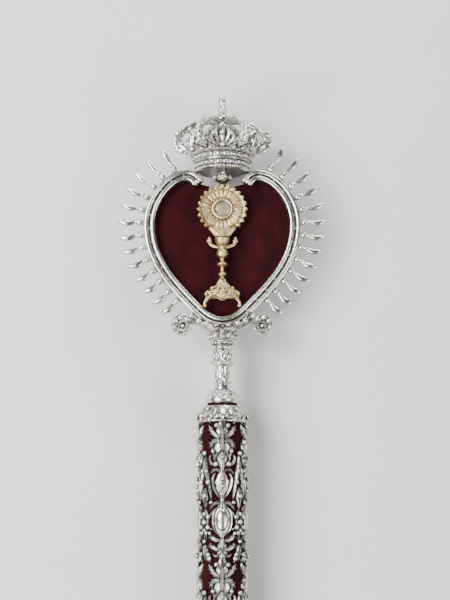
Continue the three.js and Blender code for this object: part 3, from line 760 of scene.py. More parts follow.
def domed_plate(form, outline, centre, back, front, dome):
    """A plate over an outline, whose front swells towards the centre point."""

    def ring(share, z):
        return [Vector((*(centre + (point - centre) * share), z)) for point in outline]

    rings = [ring(0.03, back), ring(0.5, back), ring(1.0, back)]
    for share in (1.0, 0.985, 0.95, 0.88, 0.75, 0.6, 0.45, 0.3, 0.15, 0.03):
        rings.append(ring(share, front - dome + dome * math.sqrt(1 - share * share)))
    form.skin(rings)


# The pieces and the studio


class STAFF_OT_pole(bpy.types.Operator):
    """Cover the pole with velvet"""

    bl_idname = "staff.pole"
    bl_label = "Velvet Pole"

    def execute(self, context):
        sizes, heights = sizes_and_heights(context)
        form = Form()
        base = sizes.ferrule_tip + sizes.gap
        straight = heights.sleeve_top
        rows = 150
        profile = [(sizes.pole_radius, base + (straight - base) * i / rows) for i in range(rows + 1)]
        profile += [
            (0.985 * sizes.pole_radius, straight + 0.3),
            (sizes.pole_neck + 0.4, sizes.pole_top - 0.4),
            (sizes.pole_neck, sizes.pole_top),
        ]
        form.turned(profile, sides=64)
        make_piece("pole_cover", form, "maroon_velvet", "velvet_pole")
        return {"FINISHED"}


def sleeve_spine(form, place, path, pitch):
    """The middle of a column: broad leaves, an urn's beads, an oval boss and a stalk along it."""

    def middle(*shares):
        return path(*((0, share) for share in shares))

    for low, high, half in ((0.37, 0.0, 7.4), (0.6, 0.38, 6.6), (0.86, 0.61, 8.6), (1.04, 0.87, 4.6)):
        form.leaf(place, middle(low, (low + high) / 2, high), half, 0.8, 6, 0.3, 1.0, 0.0)
    form.leaf(place, middle(1.02, 0.8, 0.5, -0.02), 2.6, 1.4, 12, 0.3, 1.0, 0.1)
    form.leaf(place, middle(0.25, 0.15, 0.02), 2.4, 3.3, 4, 0.3)
    form.leaf(place, middle(0.59, 0.49, 0.4), 3.6, 1.9, 3, 0.15)
    beads = ((0.285, 1.8), (0.44, 1.9), (0.495, 2.0), (0.55, 1.9), (0.595, 1.6), (0.995, 2.5))
    for share, radius in beads:
        form.bead(place(*middle(share)[0], 2.2), radius, sides=10, rows=7)
    form.boss(place, *middle(0.74)[0], 5.2, 0.082 * pitch, 3.0)
    form.leaf(place, middle(0.86, 0.9, 0.97), 2.8, 2.8, 4, 0.3)


def sleeve_scrolls(form, place, path, edge):
    """Scrolls and leaves on one side of a column, from the top scroll down to the rosette."""
    form.spray(place, path((1.2, 0.15), (5.4, 0.125), (8.8, 0.09), (11.4, 0.045)), 2.2, 2.7, 3, 2.8)
    form.spray(place, path((1.0, 0.18), (4.4, 0.165), (8.0, 0.185), (10.6, 0.225)), 2.4, 3.1, 3, 2.6)
    form.leaf(place, path((1.0, 0.24), (3.6, 0.262), (6.0, 0.295), (4.8, 0.33)), 1.6, 2.7, 3, 0.2)
    form.leaf(place, path((5.0, 0.35), (8.6, 0.33), (10.2, 0.292), (8.4, 0.262)), 1.6, 2.4, 3, 0.2)
    form.leaf(place, path((0.8, 0.39), (4.4, 0.375), (7.4, 0.385), (9.2, 0.415)), 1.7, 3.0, 3, 0.2)
    urn = path((5.4, 0.4), (7.6, 0.44), (6.6, 0.5), (4.0, 0.55), (1.6, 0.59))
    form.leaf(place, urn, 1.3, 2.6, 0, 0.0, 0.9, 0.0)
    strand = path((edge, 0.27), (13.4, 0.36), (11.4, 0.45), (9.6, 0.53), (8.8, 0.6))
    form.spray(place, strand, 2.0, 3.0, 4, 2.5)
    form.leaf(place, path((edge, 0.5), (12.9, 0.56), (13.2, 0.61), (edge, 0.66)), 1.4, 2.4, 3, 0.2)
    form.spray(place, path((0.8, 0.62), (4.6, 0.615), (7.8, 0.635), (10.4, 0.672)), 1.9, 3.0, 3, 2.0)
    oval = path((0.8, 0.638), (4.8, 0.655), (7.1, 0.7), (7.1, 0.775), (4.8, 0.825), (0.8, 0.845))
    form.leaf(place, oval, 1.0, 2.3, 0, 0.0, 0.9, 0.0)
    form.spray(place, path((1.2, 0.885), (5.4, 0.88), (9.0, 0.86), (12.2, 0.865)), 2.1, 2.8, 3, 2.6)
    form.spray(place, path((0.8, 0.945), (5.0, 0.945), (8.6, 0.925), (12.4, 0.92)), 2.2, 3.0, 3, 2.6)
    form.leaf(place, path((1.0, 0.985), (4.8, 0.995), (8.0, 0.975)), 1.7, 2.6, 3, 0.2)
    form.leaf(place, path((edge, 0.91), (13.2, 0.96), (edge, 1.03)), 1.5, 2.2, 3, 0.2)


def sleeve_stalks(form, place, path, edge):
    """Stalks that hold the openwork together on one side of a column, and the beads on them."""
    for stalk in (
        path((0.6, 0.1), (2.6, 0.075), (4.6, 0.05)),
        path((9.6, 0.04), (10.4, 0.02), (10.0, -0.01)),
        path((5.8, 0.295), (6.6, 0.265), (7.4, 0.235), (8.8, 0.2)),
        path((7.2, 0.66), (9.0, 0.7), (11.4, 0.735), (edge, 0.75)),
        path((7.0, 0.8), (8.8, 0.805), (11.4, 0.785), (edge, 0.755)),
        path((8.2, 0.865), (9.6, 0.84), (12.2, 0.83), (edge, 0.85)),
        path((edge, 0.66), (12.6, 0.7), (12.2, 0.76), (12.8, 0.82), (edge, 0.9)),
    ):
        form.leaf(place, stalk, 1.15, 1.7, 2, 0.15, 0.9, 0.0, steps=3)
    beads = (
        (10.0, 0.012, 2.1), (4.3, 0.055, 1.9), (7.0, 0.243, 1.7), (4.8, 0.336, 2.3), (12.6, 0.385, 1.9),
        (11.0, 0.465, 2.2), (8.6, 0.612, 1.6), (10.9, 0.715, 2.1), (11.2, 0.79, 2.0), (9.6, 0.832, 1.5),
        (12.4, 0.83, 1.8), (10.8, 0.985, 1.9),
    )
    for x, share, radius in beads:
        form.bead(place(*path((x, share))[0], 1.9), radius, sides=10, rows=6)


def sleeve_motif(form, place, top, pitch, edge):
    """One length of one column: scrolls, an urn with beads, an oval boss and half of a rosette."""

    def path_on(side, *points):
        return [(side * x, top - share * pitch) for x, share in points]

    sleeve_spine(form, place, partial(path_on, 1), pitch)
    for side in (-1, 1):
        path = partial(path_on, side)
        sleeve_scrolls(form, place, path, edge)
        sleeve_stalks(form, place, path, edge)
    beads = ((0.255, 2.0), (0.565, 2.2), (0.695, 1.7), (0.753, 2.3), (0.812, 1.7), (0.89, 1.8))
    for share, radius in beads:
        form.bead(place(edge, top - share * pitch, 1.9), radius, sides=10, rows=7)


class STAFF_OT_sleeve(bpy.types.Operator):
    """Chase the openwork sleeve over the pole's top"""

    bl_idname = "staff.sleeve"
    bl_label = "Openwork Sleeve"

    def execute(self, context):
        sizes, heights = sizes_and_heights(context)
        form = Form()
        inner = sizes.pole_radius + sizes.gap
        base, top = heights.sleeve_base, heights.sleeve_top
        margin = 3
        pitch = (top - base - 2 * margin) / SLEEVE_LENGTHS
        quarter = inner * FULL_TURN / SLEEVE_COLUMNS
        for row in range(SLEEVE_LENGTHS):
            for column in range(SLEEVE_COLUMNS):
                place = round_pole(inner, column * FULL_TURN / SLEEVE_COLUMNS)
                sleeve_motif(form, place, top - margin - row * pitch, pitch, quarter / 2)
        rim = [(0, 0), (1.9, 0.2), (2.3, 1.2), (1.4, 2.2), (1.1, 3.4)]
        rim += [(1.4, 4.6), (2.2, 5.4), (1.6, 6.4), (0, 6.6)]
        form.turned([(inner + out, base + up) for out, up in [*smooth(rim, 3), (0, 0)]], closed=True)
        form.bead_ring(40, inner + 1.3, base + 3.4, 1.15)
        self.collar(form, sizes, inner, top, quarter)
        make_piece("openwork_silver", form, "chased_silver", "openwork_sleeve")
        return {"FINISHED"}

    def collar(self, form, sizes, inner, top, quarter):
        """The ring that turns in over the pole's shoulder, under leaves and beads."""
        slope = (sizes.pole_radius - sizes.pole_neck) / sizes.shoulder
        reach = 0.8 * sizes.shoulder
        outer = [(0, -6), (1.4, -5.7), (1.8, -4.6), (0.9, -3.4), (1.0, -0.8)]
        outer = [(inner + out, top + up) for out, up in outer]
        for share, out in ((0.4, 0.7), (0.85, 1.2), (1, 0.9)):
            outer.append((inner + out - share * slope * reach, top + share * reach))
        lining = [(inner + 0.2 - slope * reach, top + reach), (inner, top), (inner, top - 6)]
        form.turned([*smooth(outer, 3), *lining], closed=True)
        form.bead_ring(36, inner + 1.3, top - 4.6, 1.1)
        form.bead_ring(SLEEVE_COLUMNS, inner + 0.9 - 0.6 * slope * reach, top + 0.62 * reach, 2.3)

        def shoulder(x, y, out):
            up = max(y - top, 0.0)
            flare = 1.3 * max(0.0, 1 - (y - top + 4) / 5) if y < top + 1 else 0.0
            distance = inner + 0.6 - slope * up + out + flare
            angle = x / inner
            return Vector((distance * math.sin(angle), y, distance * math.cos(angle)))

        for k in range(SLEEVE_COLUMNS):
            x = k * quarter
            form.leaf(shoulder, [(x, top + 7.4), (x, top + 2), (x, top - 4.4)], 5.0, 2.4, 5, 0.22)
            for side in (-1, 1):
                x = (k + 0.25 * side) * quarter
                tips = [(x, top + 7), (x + side * 0.6, top + 1.6), (x + side * 1.6, top - 3.8)]
                form.leaf(shoulder, tips, 3.6, 2.1, 4, 0.22)
                form.bead(shoulder(x - side * 3.8, top - 1.6, 1.6), 1.7)


class STAFF_OT_knops(bpy.types.Operator):
    """Turn the knops that divide the pole"""

    bl_idname = "staff.knops"
    bl_label = "Pole Knops"

    def execute(self, context):
        sizes, heights = sizes_and_heights(context)
        bore = sizes.pole_radius + sizes.gap
        highest = heights.sleeve_base - sizes.gap - sizes.knop_length
        spacing = (highest - heights.ferrule_top) / sizes.knop_count
        belly, rise = sizes.knop_radius, sizes.knop_length
        rim = [(1.6, 0.0), (2.0, 0.05), (1.3, 0.1), (1.9, 0.16), (0.9, 0.21)]
        outer = [(bore + out, up) for out, up in rim]
        outer += [(0.93 * belly, 0.3), (belly, 0.44), (belly, 0.5), (belly, 0.56), (0.93 * belly, 0.7)]
        outer += [(bore + out, 1 - up) for out, up in reversed(rim)]
        for k in range(sizes.knop_count):
            base = highest - k * spacing
            form = Form()
            profile = stretched(outer, 4, 1, base, rise) + [(bore, base + rise), (bore, base)]
            lobed = span(base, rise, 0.27, 0.73)
            form.turned(profile, sides=120, lobes=20, lobe_depth=0.035, lobed=lobed, closed=True)
            for height in span(base, rise, 0.1, 0.9):
                form.bead_ring(36, bore + 1.5, height, 1.1)
            name = f"turned_knop_{k + 1}"
            make_piece(name, form, "old_silver", f"pole_knop_{k + 1}")
        return {"FINISHED"}


class STAFF_OT_ferrule(bpy.types.Operator):
    """Turn the ferrule at the foot"""

    bl_idname = "staff.ferrule"
    bl_label = "Foot Ferrule"

    def execute(self, context):
        sizes, heights = sizes_and_heights(context)
        form = Form()
        bore = sizes.pole_radius + sizes.gap
        tip, top = sizes.ferrule_tip, heights.ferrule_top
        ring = sizes.foot_ring * math.cos(math.pi / FOOT_RING_FLATS)
        outer = [
            (0.2, 0), (8.6, 0), (9, 0.3), (10.4, 2.2), (10.6, 5.5), (10.4, 8.8), (8.8, 11), (8.6, 13),
            (9.4, 24), (11.6, 38), (16.2, tip - 9), (bore + 1.6, tip - 1.5), (bore + 2, tip + 1),
            (bore + 1.7, tip + 9), (bore + 2.2, tip + 11), (ring - 1.2, tip + 14), (ring, tip + 17),
            (ring - 1.2, tip + 20), (bore + 2.2, tip + 23), (bore + 1.5, tip + 26), (bore + 1, tip + 31),
            (bore + 1.9, tip + 33), (bore + 1.4, top - 0.3), (bore + 0.3, top),
        ]
        inner = [(bore, top), (bore, tip), (0.2, tip)]
        form.turned([*smooth(outer, 3), *inner], sides=96)
        leaves = 12
        for i in range(leaves):
            place = round_pole(bore + 1.4, FULL_TURN * i / leaves)
            form.leaf(place, [(0, tip + 25), (0, tip + 29), (0, tip + 34)], 3.6, 1.4, 3, 0.2)
        make_piece("turned_ferrule", form, "old_silver", "foot_ferrule")
        return {"FINISHED"}


class STAFF_OT_stem(bpy.types.Operator):
    """Turn the bell and the stem between the pole and the heart"""

    bl_idname = "staff.stem"
    bl_label = "Bell and Stem"

    def execute(self, context):
        sizes, heights = sizes_and_heights(context)
        self.bell(sizes.bell_radius, sizes.bell_height, heights.bell_base)
        self.stem(sizes.stem_radius, sizes.stem_height, heights.stem_base)
        return {"FINISHED"}

    def bell(self, radius, rise, base):
        """A bell with fluted shoulders between two rings of beads."""
        outline = [
            (0.02, 0.0), (0.86, 0.0), (0.93, 0.06), (0.98, 0.16), (0.99, 0.3), (0.9, 0.42), (0.86, 0.48),
            (0.88, 0.54), (0.86, 0.66), (0.8, 0.8), (0.64, 0.93), (0.52, 1.0), (0.02, 1.0),
        ]
        form = Form()
        profile = stretched(outline, 3, radius, base, rise)
        form.turned(profile, sides=96, lobes=16, lobe_depth=0.05, lobed=span(base, rise, 0.55, 0.95))
        form.bead_ring(10, 0.86 * radius, base + 0.44 * rise, 2.5, (1, 1, 0.9))
        form.bead_ring(12, 0.66 * radius, base + 0.86 * rise, 1.3, start=0)
        make_piece("bell", form, "old_silver", "head_bell")

    def stem(self, radius, rise, base):
        """A waisted stem with a beaded ring, a lobed knop and a foot of small leaves."""
        outline = [
            (0.02, 0.0), (0.66, 0.0), (0.7, 0.03), (0.66, 0.08), (0.63, 0.11), (0.7, 0.135), (0.76, 0.175),
            (0.7, 0.215), (0.62, 0.25), (0.6, 0.33), (0.62, 0.41), (0.68, 0.47), (0.72, 0.51), (0.86, 0.53),
            (0.93, 0.56), (0.95, 0.59), (0.9, 0.63), (0.82, 0.655), (0.86, 0.69), (0.91, 0.75),
            (0.88, 0.81), (0.8, 0.845), (0.82, 0.87), (0.92, 0.9), (0.94, 0.93), (0.9, 0.97), (0.78, 1.0),
            (0.02, 1.0),
        ]
        form = Form()
        profile = stretched(outline, 3, radius, base, rise)
        form.turned(profile, sides=96, lobes=8, lobe_depth=0.1, lobed=span(base, rise, 0.66, 0.84))
        form.bead_ring(14, 0.9 * radius, base + 0.59 * rise, 1.55)
        form.bead_ring(10, 0.72 * radius, base + 0.175 * rise, 1.4)
        form.bead_ring(12, 0.88 * radius, base + 0.925 * rise, 1.4)
        form.bead_ring(8, 0.72 * radius, base + 0.745 * rise, 2.5, (1, 1.25, 1))
        leaves = 8
        for i in range(leaves):
            place = round_pole(0.6 * radius, FULL_TURN * i / leaves)
            path = [(0, base + share * rise) for share in (0.25, 0.34, 0.46)]
            form.leaf(place, path, 1.9, 1.0, 3, 0.2)
        make_piece("stem", form, "old_silver", "head_stem")


class STAFF_OT_bracket(bpy.types.Operator):
    """Cast the bracket under the heart: its cup and two volutes"""

    bl_idname = "staff.bracket"
    bl_label = "Volute Bracket"

    def execute(self, context):
        sizes, heights = sizes_and_heights(context)
        form = Form()
        self.cup(form, sizes.cup_radius, sizes.cup_height, heights.cup_base)
        under = heights.apex - sizes.frame_half_width - sizes.gap
        for side in (-1, 1):
            self.volute(form, sizes, heights.apex - sizes.volute_drop, under, side)
        self.clasp(form, sizes, under)
        make_piece("bracket", form, "old_silver", "base_bracket")
        return {"FINISHED"}

    def cup(self, form, radius, rise, base):
        """A fluted cup with a ring of beads below and rings of lumps round its belly."""
        outline = [
            (0.02, 0.0), (0.6, 0.0), (0.65, 0.06), (0.6, 0.12), (0.62, 0.2), (0.74, 0.32), (0.84, 0.42),
            (0.84, 0.5), (0.7, 0.6), (0.66, 0.68), (0.76, 0.8), (0.86, 0.92), (0.84, 1.0), (0.02, 1.0),
        ]
        profile = stretched(outline, 3, radius, base, rise)
        form.turned(profile, sides=96, lobes=12, lobe_depth=0.08, lobed=span(base, rise, 0.2, 0.9))
        form.bead_ring(6, 0.79 * radius, base + 0.46 * rise, 2.9, (0.9, 0.9, 1))
        form.bead_ring(6, 0.74 * radius, base + 0.42 * rise, 2.0, start=0)
        form.bead_ring(14, 0.62 * radius, base + 0.06 * rise, 1.2)

    def volute(self, form, sizes, eye_y, under, side):
        """An arm that rolls up round its eye, with shrinking lumps inside and a leaf behind."""
        eye_x = sizes.volute_inset
        arm = [(0, -2.4, 2.0, 4.6), (8, -1.6, 2.0, 4.8), (15, 0.6, 2.1, 5.0), (22, 4.2, 2.1, 5.0)]
        arm = smooth([(x, under + y, half, deep) for x, y, half, deep in arm])
        roll = []
        steps, start, turns = 60, math.radians(118), 1.45
        for i in range(steps):
            share = i / (steps - 1)
            angle = start - share * turns * FULL_TURN
            thick = 2.1 * (1 - 0.25 * share)
            reach = (sizes.volute_radius - thick) * (1 - 0.76 * max(0, share - 0.2) / 0.8)
            x, y = eye_x + reach * math.cos(angle), eye_y + reach * math.sin(angle)
            roll.append((x, y, thick, 5.2 * (1 - 0.2 * share)))
        form.bar(facing_plane(0, 0, 0, side), arm + roll, sides=14)
        form.bead((side * (eye_x - 0.4), eye_y - 0.2, 0), 2.6, (1, 1, 1.5))
        for k in range(7):
            angle = math.radians(128 - 47 * k)
            reach = sizes.volute_radius - 2.9
            size = 3.5 - 0.28 * k
            centre = (side * (eye_x + reach * math.cos(angle)), eye_y + reach * math.sin(angle), 2.4)
            form.bead(centre, size, (1, 1, 1.05), sides=14, rows=10)

        def rear(x, y, out):
            return Vector((side * x, y, -4.4 - out))

        path = [(4, under - 1.6), (12, under + 0.2), (20, under + 4.0), (27, under + 8.0)]
        form.leaf(rear, path, 2.6, 1.6, 4, 0.2)

    def clasp(self, form, sizes, under):
        """Leaves and beads that lap over the heart's lower edge from the bracket."""
        front = sizes.frame_front + sizes.gap
        for side in (-1, 1):
            place = facing_plane(0, 0, front, side)
            path = [(2.5, under - 1.8), (9, under + 0.6), (16, under + 3.6), (24.5, under + 8.6)]
            form.spray(place, path, 2.9, 2.4, 4, 3.6)
            path = [(1.0, under - 2.2), (4.5, under + 1.4), (8.5, under + 3.4)]
            form.leaf(place, path, 2.3, 2.6, 3, 0.2)
            for x, y, size in ((5.0, 1.8, 2.6), (13.0, 4.0, 2.7), (19.4, 6.0, 2.8), (26.0, 10.0, 2.5)):
                form.bead(place(x, under + y, 1.4), size)
        place = facing_plane(0, 0, front)
        form.leaf(place, [(0, under - 5.6), (0, under - 1), (0, under + 4.6)], 3.2, 3.0, 4, 0.25)
        form.leaf(place, [(0, under - 10), (0, under - 7), (0, under - 3)], 3.4, 5.4, 3, 0.2)


class STAFF_OT_heart(bpy.types.Operator):
    """Draw the heart's doubled moulding with its rolled ends"""

    bl_idname = "staff.heart"
    bl_label = "Heart Moulding"

    def execute(self, context):
        sizes, heights = sizes_and_heights(context)
        line = HeartLine(sizes, heights.apex)
        form = Form()
        half, front, back = sizes.frame_half_width, sizes.frame_front, sizes.frame_back
        section = [(half, -0.7 * back), (half, 0.25 * front)]
        rib, centre = 0.47 * half, 0.53 * half
        steps = 8
        for mirrored in (1, -1):
            for k in range(steps + 1):
                angle = math.pi * k / steps
                n = mirrored * centre + rib * math.cos(angle)
                section.append((n, 0.3 * front + 0.7 * front * math.sin(angle) ** 0.8))
        section += [(-half, 0.25 * front), (-half, -0.7 * back)]
        section += [(-0.86 * half, -back), (0.86 * half, -back)]

        def ring(point, normal, size=1.0):
            return [Vector((*(point + size * n * normal), size * z)) for n, z in section]

        def half_rings(side):
            rings = []
            for distance in line.stations(110):
                point, normal = line.at(distance, side)
                if distance == 0:
                    point.x = 0.0
                    normal = Vector((0, -1))
                rings.append(ring(point, normal))
            point, normal = line.at(line.length, side)
            ahead = Vector((-side * normal.y, side * normal.x))
            rounding = ((0.8, 1.0), (1.8, 0.98), (2.8, 0.93), (3.6, 0.8), (4.3, 0.55), (4.6, 0.25))
            for far, size in rounding:
                rings.append(ring(point + far * ahead, normal, size))
            return rings

        left = half_rings(-1)
        form.skin(list(reversed(left[1:])) + half_rings(1))
        for side in (-1, 1):
            point, normal = line.at(line.length, side)
            ahead = Vector((-side * normal.y, side * normal.x))
            for across, size in ((-0.55, 0.55), (0.05, 0.6), (0.6, 0.66)):
                middle = point + 1.5 * ahead + across * half * normal
                form.bead((middle.x, middle.y, 0.9), size * half, (1, 1, 1.15), sides=20, rows=14)
            rivets = 15
            for distance in line.stations(rivets)[2:-1]:
                rivet, _ = line.at(distance, side)
                form.bead((rivet.x, rivet.y, 0.42 * front), 0.95, (1, 1, 1.1), sides=10, rows=6)
        make_piece("heart_moulding", form, "old_silver", "heart_frame")
        return {"FINISHED"}


class STAFF_OT_panel(bpy.types.Operator):
    """Lay the velvet panel and its silver back plate into the heart"""

    bl_idname = "staff.panel"
    bl_label = "Velvet Panel"

    def execute(self, context):
        sizes, heights = sizes_and_heights(context)
        line = HeartLine(sizes, heights.apex)

        def up(share):
            return heights.apex + share * sizes.heart_height

        centre = Vector((0, up(0.55)))
        form = Form()
        dip = [(12, up(0.935)), (0, up(0.9)), (-12, up(0.935))]
        domed_plate(form, line.outline(1, dip), centre, heights.panel_back, heights.panel_front, 0.5)
        make_piece("panel_cover", form, "maroon_velvet", "velvet_panel")

        form = Form()
        half, root, top = sizes.tongue_half_width, up(0.93), heights.crown_base - sizes.gap
        tongue = [(half, root), (half, top), (-half, top), (-half, root)]
        back = heights.plate_back
        domed_plate(form, line.outline(2.5, tongue), centre, back, heights.plate_front, 0)
        for point in line.outline(7.5, tongue):
            if abs(point.x) > half or point.y < up(0.5):
                form.bead((point.x, point.y, back), 1.0, (1, 1, 0.8))
        for x, share in ((0, 0.2), (-24, 0.5), (24, 0.5), (-30, 0.8), (30, 0.8), (0, 0.84)):
            form.bead((x, up(share), back), 2.6, (1, 1, 0.5), sides=16, rows=8)
        make_piece("chased_back", form, "old_silver", "back_plate")
        return {"FINISHED"}


class STAFF_OT_rays(bpy.types.Operator):
    """Cast the rays round the heart"""

    bl_idname = "staff.rays"
    bl_label = "Rays"

    def execute(self, context):
        sizes, heights = sizes_and_heights(context)
        line = HeartLine(sizes, heights.apex)
        roots = self.roots(sizes, line)
        for side, hand in ((-1, "left"), (1, "right")):
            for i, distance in enumerate(roots):
                share = i / (sizes.ray_count - 1)
                length = sizes.longest_ray + share * (sizes.shortest_ray - sizes.longest_ray)
                form = self.ray(sizes, line, distance, side, length)
                node = f"ray_{hand}_{i + 1:02d}"
                make_piece(f"cast_{node}", form, "old_silver", node, crease=60)
        return {"FINISHED"}

    def roots(self, sizes, line):
        """Distances along the heart that are evenly spaced along its outer edge."""
        first, last = line.length - sizes.first_ray, sizes.last_ray
        steps = 200
        samples = [first + (last - first) * i / steps for i in range(steps + 1)]
        edge = []
        for distance in samples:
            point, normal = line.at(distance)
            edge.append(point + sizes.frame_half_width * normal)
        run = measured(edge)
        wanted = [run[-1] * k / (sizes.ray_count - 1) for k in range(sizes.ray_count)]
        return [samples[next(i for i, done in enumerate(run) if done >= far - 1e-6)] for far in wanted]

    def ray(self, sizes, line, distance, side, length):
        """A swaying ray with a bulb at its root, a collar and a swelling blade."""
        point, normal = line.at(distance, side)
        root = point + (sizes.frame_half_width + sizes.gap) * normal
        lean = max(math.atan2(side * normal.x, normal.y), sizes.least_lean)
        ahead = Vector((side * math.sin(lean), math.cos(lean)))
        root_across = Vector((-side * normal.y, side * normal.x))
        along_across = Vector((-side * ahead.y, side * ahead.x))
        stages = [
            (0.0, 1.7, 1.7), (0.05, 2.4, 2.3), (0.12, 2.75, 2.6), (0.19, 2.4, 2.3), (0.25, 1.7, 1.6),
            (0.285, 1.95, 1.8), (0.32, 1.7, 1.6), (0.42, 2.05, 1.8), (0.54, 2.45, 2.0), (0.66, 2.65, 2.1),
            (0.77, 2.4, 1.9), (0.86, 1.85, 1.6), (0.91, 1.35, 1.3), (0.95, 1.6, 1.5), (0.985, 1.25, 1.15),
            (1.0, 0.4, 0.4),
        ]
        sides = 14
        rings = []
        for share, wide, deep in smooth(stages, 3):
            sway = 0.7 * math.sin(share * 2.6 * math.pi)
            middle = root + share * length * ahead + sway * along_across
            across = root_across.lerp(along_across, min(share / 0.18, 1.0)).normalized()
            ring = []
            for j in range(sides):
                angle = FULL_TURN * j / sides
                offset = middle + wide * math.cos(angle) * across
                ring.append(Vector((offset.x, offset.y, deep * math.sin(angle))))
            rings.append(ring)
        form = Form()
        form.skin(rings)
        return form


class STAFF_OT_monstrance(bpy.types.Operator):
    """Turn and chase the gilt monstrance"""

    bl_idname = "staff.monstrance"
    bl_label = "Monstrance"

    def execute(self, context):
        sizes, heights = sizes_and_heights(context)
        self.foot(sizes, heights)
        self.stem(sizes, heights)
        self.sun(sizes, heights)
        return {"FINISHED"}

    def foot(self, sizes, heights):
        """A fluted bell with an oval plan and a scalloped edge, over two legs."""
        half, rise = sizes.monstrance_half_width, sizes.monstrance_foot_height
        base = heights.monstrance_base
        flatness = sizes.monstrance_half_depth / half
        forward = Vector((0, 0, sizes.monstrance_forward))

        def oval(point):
            turn = math.atan2(point.x, point.z)
            low = max(0.0, 1 - (point.y - base) / (0.5 * rise))
            drop = 1.6 * low * (math.cos(6 * turn) - 0.2)
            return Vector((point.x, point.y - drop, point.z * flatness)) + forward

        outline = [
            (0.02, 0.05), (0.8, 0.05), (0.9, 0.0), (0.99, 0.03), (1.0, 0.1), (0.92, 0.15), (0.88, 0.2),
            (0.93, 0.27), (0.87, 0.37), (0.7, 0.46), (0.56, 0.53), (0.52, 0.6), (0.36, 0.72), (0.27, 0.86),
            (0.2, 1.0), (0.02, 1.0),
        ]
        form = Form()
        profile = stretched(outline, 4, half, base, rise)
        lobed = span(base, rise, 0.22, 0.85)
        form.turned(profile, sides=120, place=oval, lobes=12, lobe_depth=0.15, lobed=lobed)
        bead_rows = ((24, 0.96, 0.08, 1.0), (12, 0.86, 0.3, 1.5), (12, 0.55, 0.55, 1.2))
        for count, reach, share, size in bead_rows:
            for i in range(count):
                x, z = on_circle(i, count, reach * half, 0.5)
                form.bead(oval(Vector((x, base + share * rise, z))), size, sides=10, rows=6)
        leg = [(0.8, 1.5, 1.4), (0.92, -1.6, 1.15), (1.0, -4.0, 1.15), (1.0, -6.0, 1.4), (0.93, -7.2, 1.1)]
        leg = [(x * half, y, size, size) for x, y, size in smooth(leg, 4)]
        for side in (-1, 1):
            form.bead((side * 13.0, base + 3.4, forward.z + 0.6), 2.3)
            form.bead((side * 8.6, base + 8.0, forward.z + 1.6), 1.9)
            form.bar(facing_plane(0, base, forward.z, side), leg, sides=10)
            form.bead((side * 0.99 * half, base - 6.0, forward.z), 1.6)
        make_piece("monstrance_base", form, "worn_gilt", "monstrance_foot")

    def stem(self, sizes, heights):
        """A stem of turned knops, with a beaded arm on each side."""
        base = heights.shaft_base
        rise = heights.sun_foot - sizes.gap - base
        forward = Vector((0, 0, sizes.monstrance_forward))
        knops = [
            (0.05, 0.0), (2.4, 0.0), (2.5, 0.02), (1.7, 0.045), (2.8, 0.075), (3.7, 0.115), (2.8, 0.155),
            (1.7, 0.185), (1.5, 0.24), (2.0, 0.285), (4.2, 0.32), (5.0, 0.36), (4.2, 0.4), (2.0, 0.43),
            (1.7, 0.47), (2.5, 0.51), (4.4, 0.56), (5.1, 0.63), (4.4, 0.7), (2.7, 0.75), (3.0, 0.8),
            (4.6, 0.86), (6.0, 0.93), (6.3, 0.97), (6.0, 1.0), (0.05, 1.0),
        ]
        form = Form()
        profile = stretched(knops, 4, 1, base, rise)
        lobed = span(base, rise, 0.5, 0.75)
        form.turned(profile, 72, lambda point: point + forward, lobes=10, lobe_depth=0.07, lobed=lobed)
        arm = [(2.6, 0.78, 1.3), (6.0, 0.8, 1.3), (9.2, 0.84, 1.3), (11.0, 0.91, 1.4)]
        arm = [(x, y * rise, size, size) for x, y, size in smooth(arm, 4)]
        for side in (-1, 1):
            form.bar(facing_plane(0, base, forward.z, side), arm, sides=10)
            form.bead((side * 11.1, base + 0.94 * rise, forward.z), 2.5)
            form.bead((side * 11.1, base + 1.01 * rise, forward.z), 1.2)
        make_piece("monstrance_shaft", form, "worn_gilt", "monstrance_stem")

    def sun(self, sizes, heights):
        """The rayed disc on its neck, with the wafer and the lens in its middle."""
        middle = Vector((0, heights.sun_centre, sizes.monstrance_forward))
        hole = sizes.lens_radius + sizes.gap
        form = Form()
        self.disc(form, middle, sizes.sun_radius, hole)
        self.petals(form, middle, sizes.sun_radius, hole)
        self.neck(form, heights.sun_foot, sizes.monstrance_forward)
        make_piece("monstrance_disc", form, "worn_gilt", "monstrance_sun")
        self.lens(middle, sizes.lens_radius)

    def disc(self, form, middle, radius, hole):
        """The fluted disc: scalloped outside, with a raised rim round the lens."""
        sides = 10 * SUN_FLUTES
        rings = []
        for reach, z, fluted, scallop in (
            (hole, -1.8, 0, 0),
            (0.6 * radius, -1.8, 0, 0),
            (0.86 * radius, -1.2, 0, 0.02),
            (radius, -0.6, 0, 0.09),
            (radius, 0.3, 0.2, 0.09),
            (0.93 * radius, 1.3, 0.6, 0.06),
            (0.84 * radius, 1.0, 0.5, 0.02),
            (0.8 * radius, 0.7, 0.2, 0),
            (0.77 * radius, 1.3, 0.1, 0),
            (0.68 * radius, 1.5, 0.7, 0),
            (0.56 * radius, 1.1, 0.5, 0),
            (hole + 2.8, 0.7, 0.2, 0),
            (hole + 2.5, 1.5, 0, 0),
            (hole + 2.0, 2.3, 0, 0),
            (hole + 1.4, 2.5, 0, 0),
            (hole + 0.6, 2.2, 0, 0),
            (hole, 1.5, 0, 0),
        ):
            ring = []
            for i in range(sides):
                wave = abs(math.cos(0.5 * SUN_FLUTES * FULL_TURN * i / sides))
                x, y = on_circle(i, sides, reach * (1 - scallop * (1 - wave)))
                ring.append(middle + Vector((x, y, z + fluted * (wave - 0.6))))
            rings.append(ring)
        form.skin(rings, loop=True)

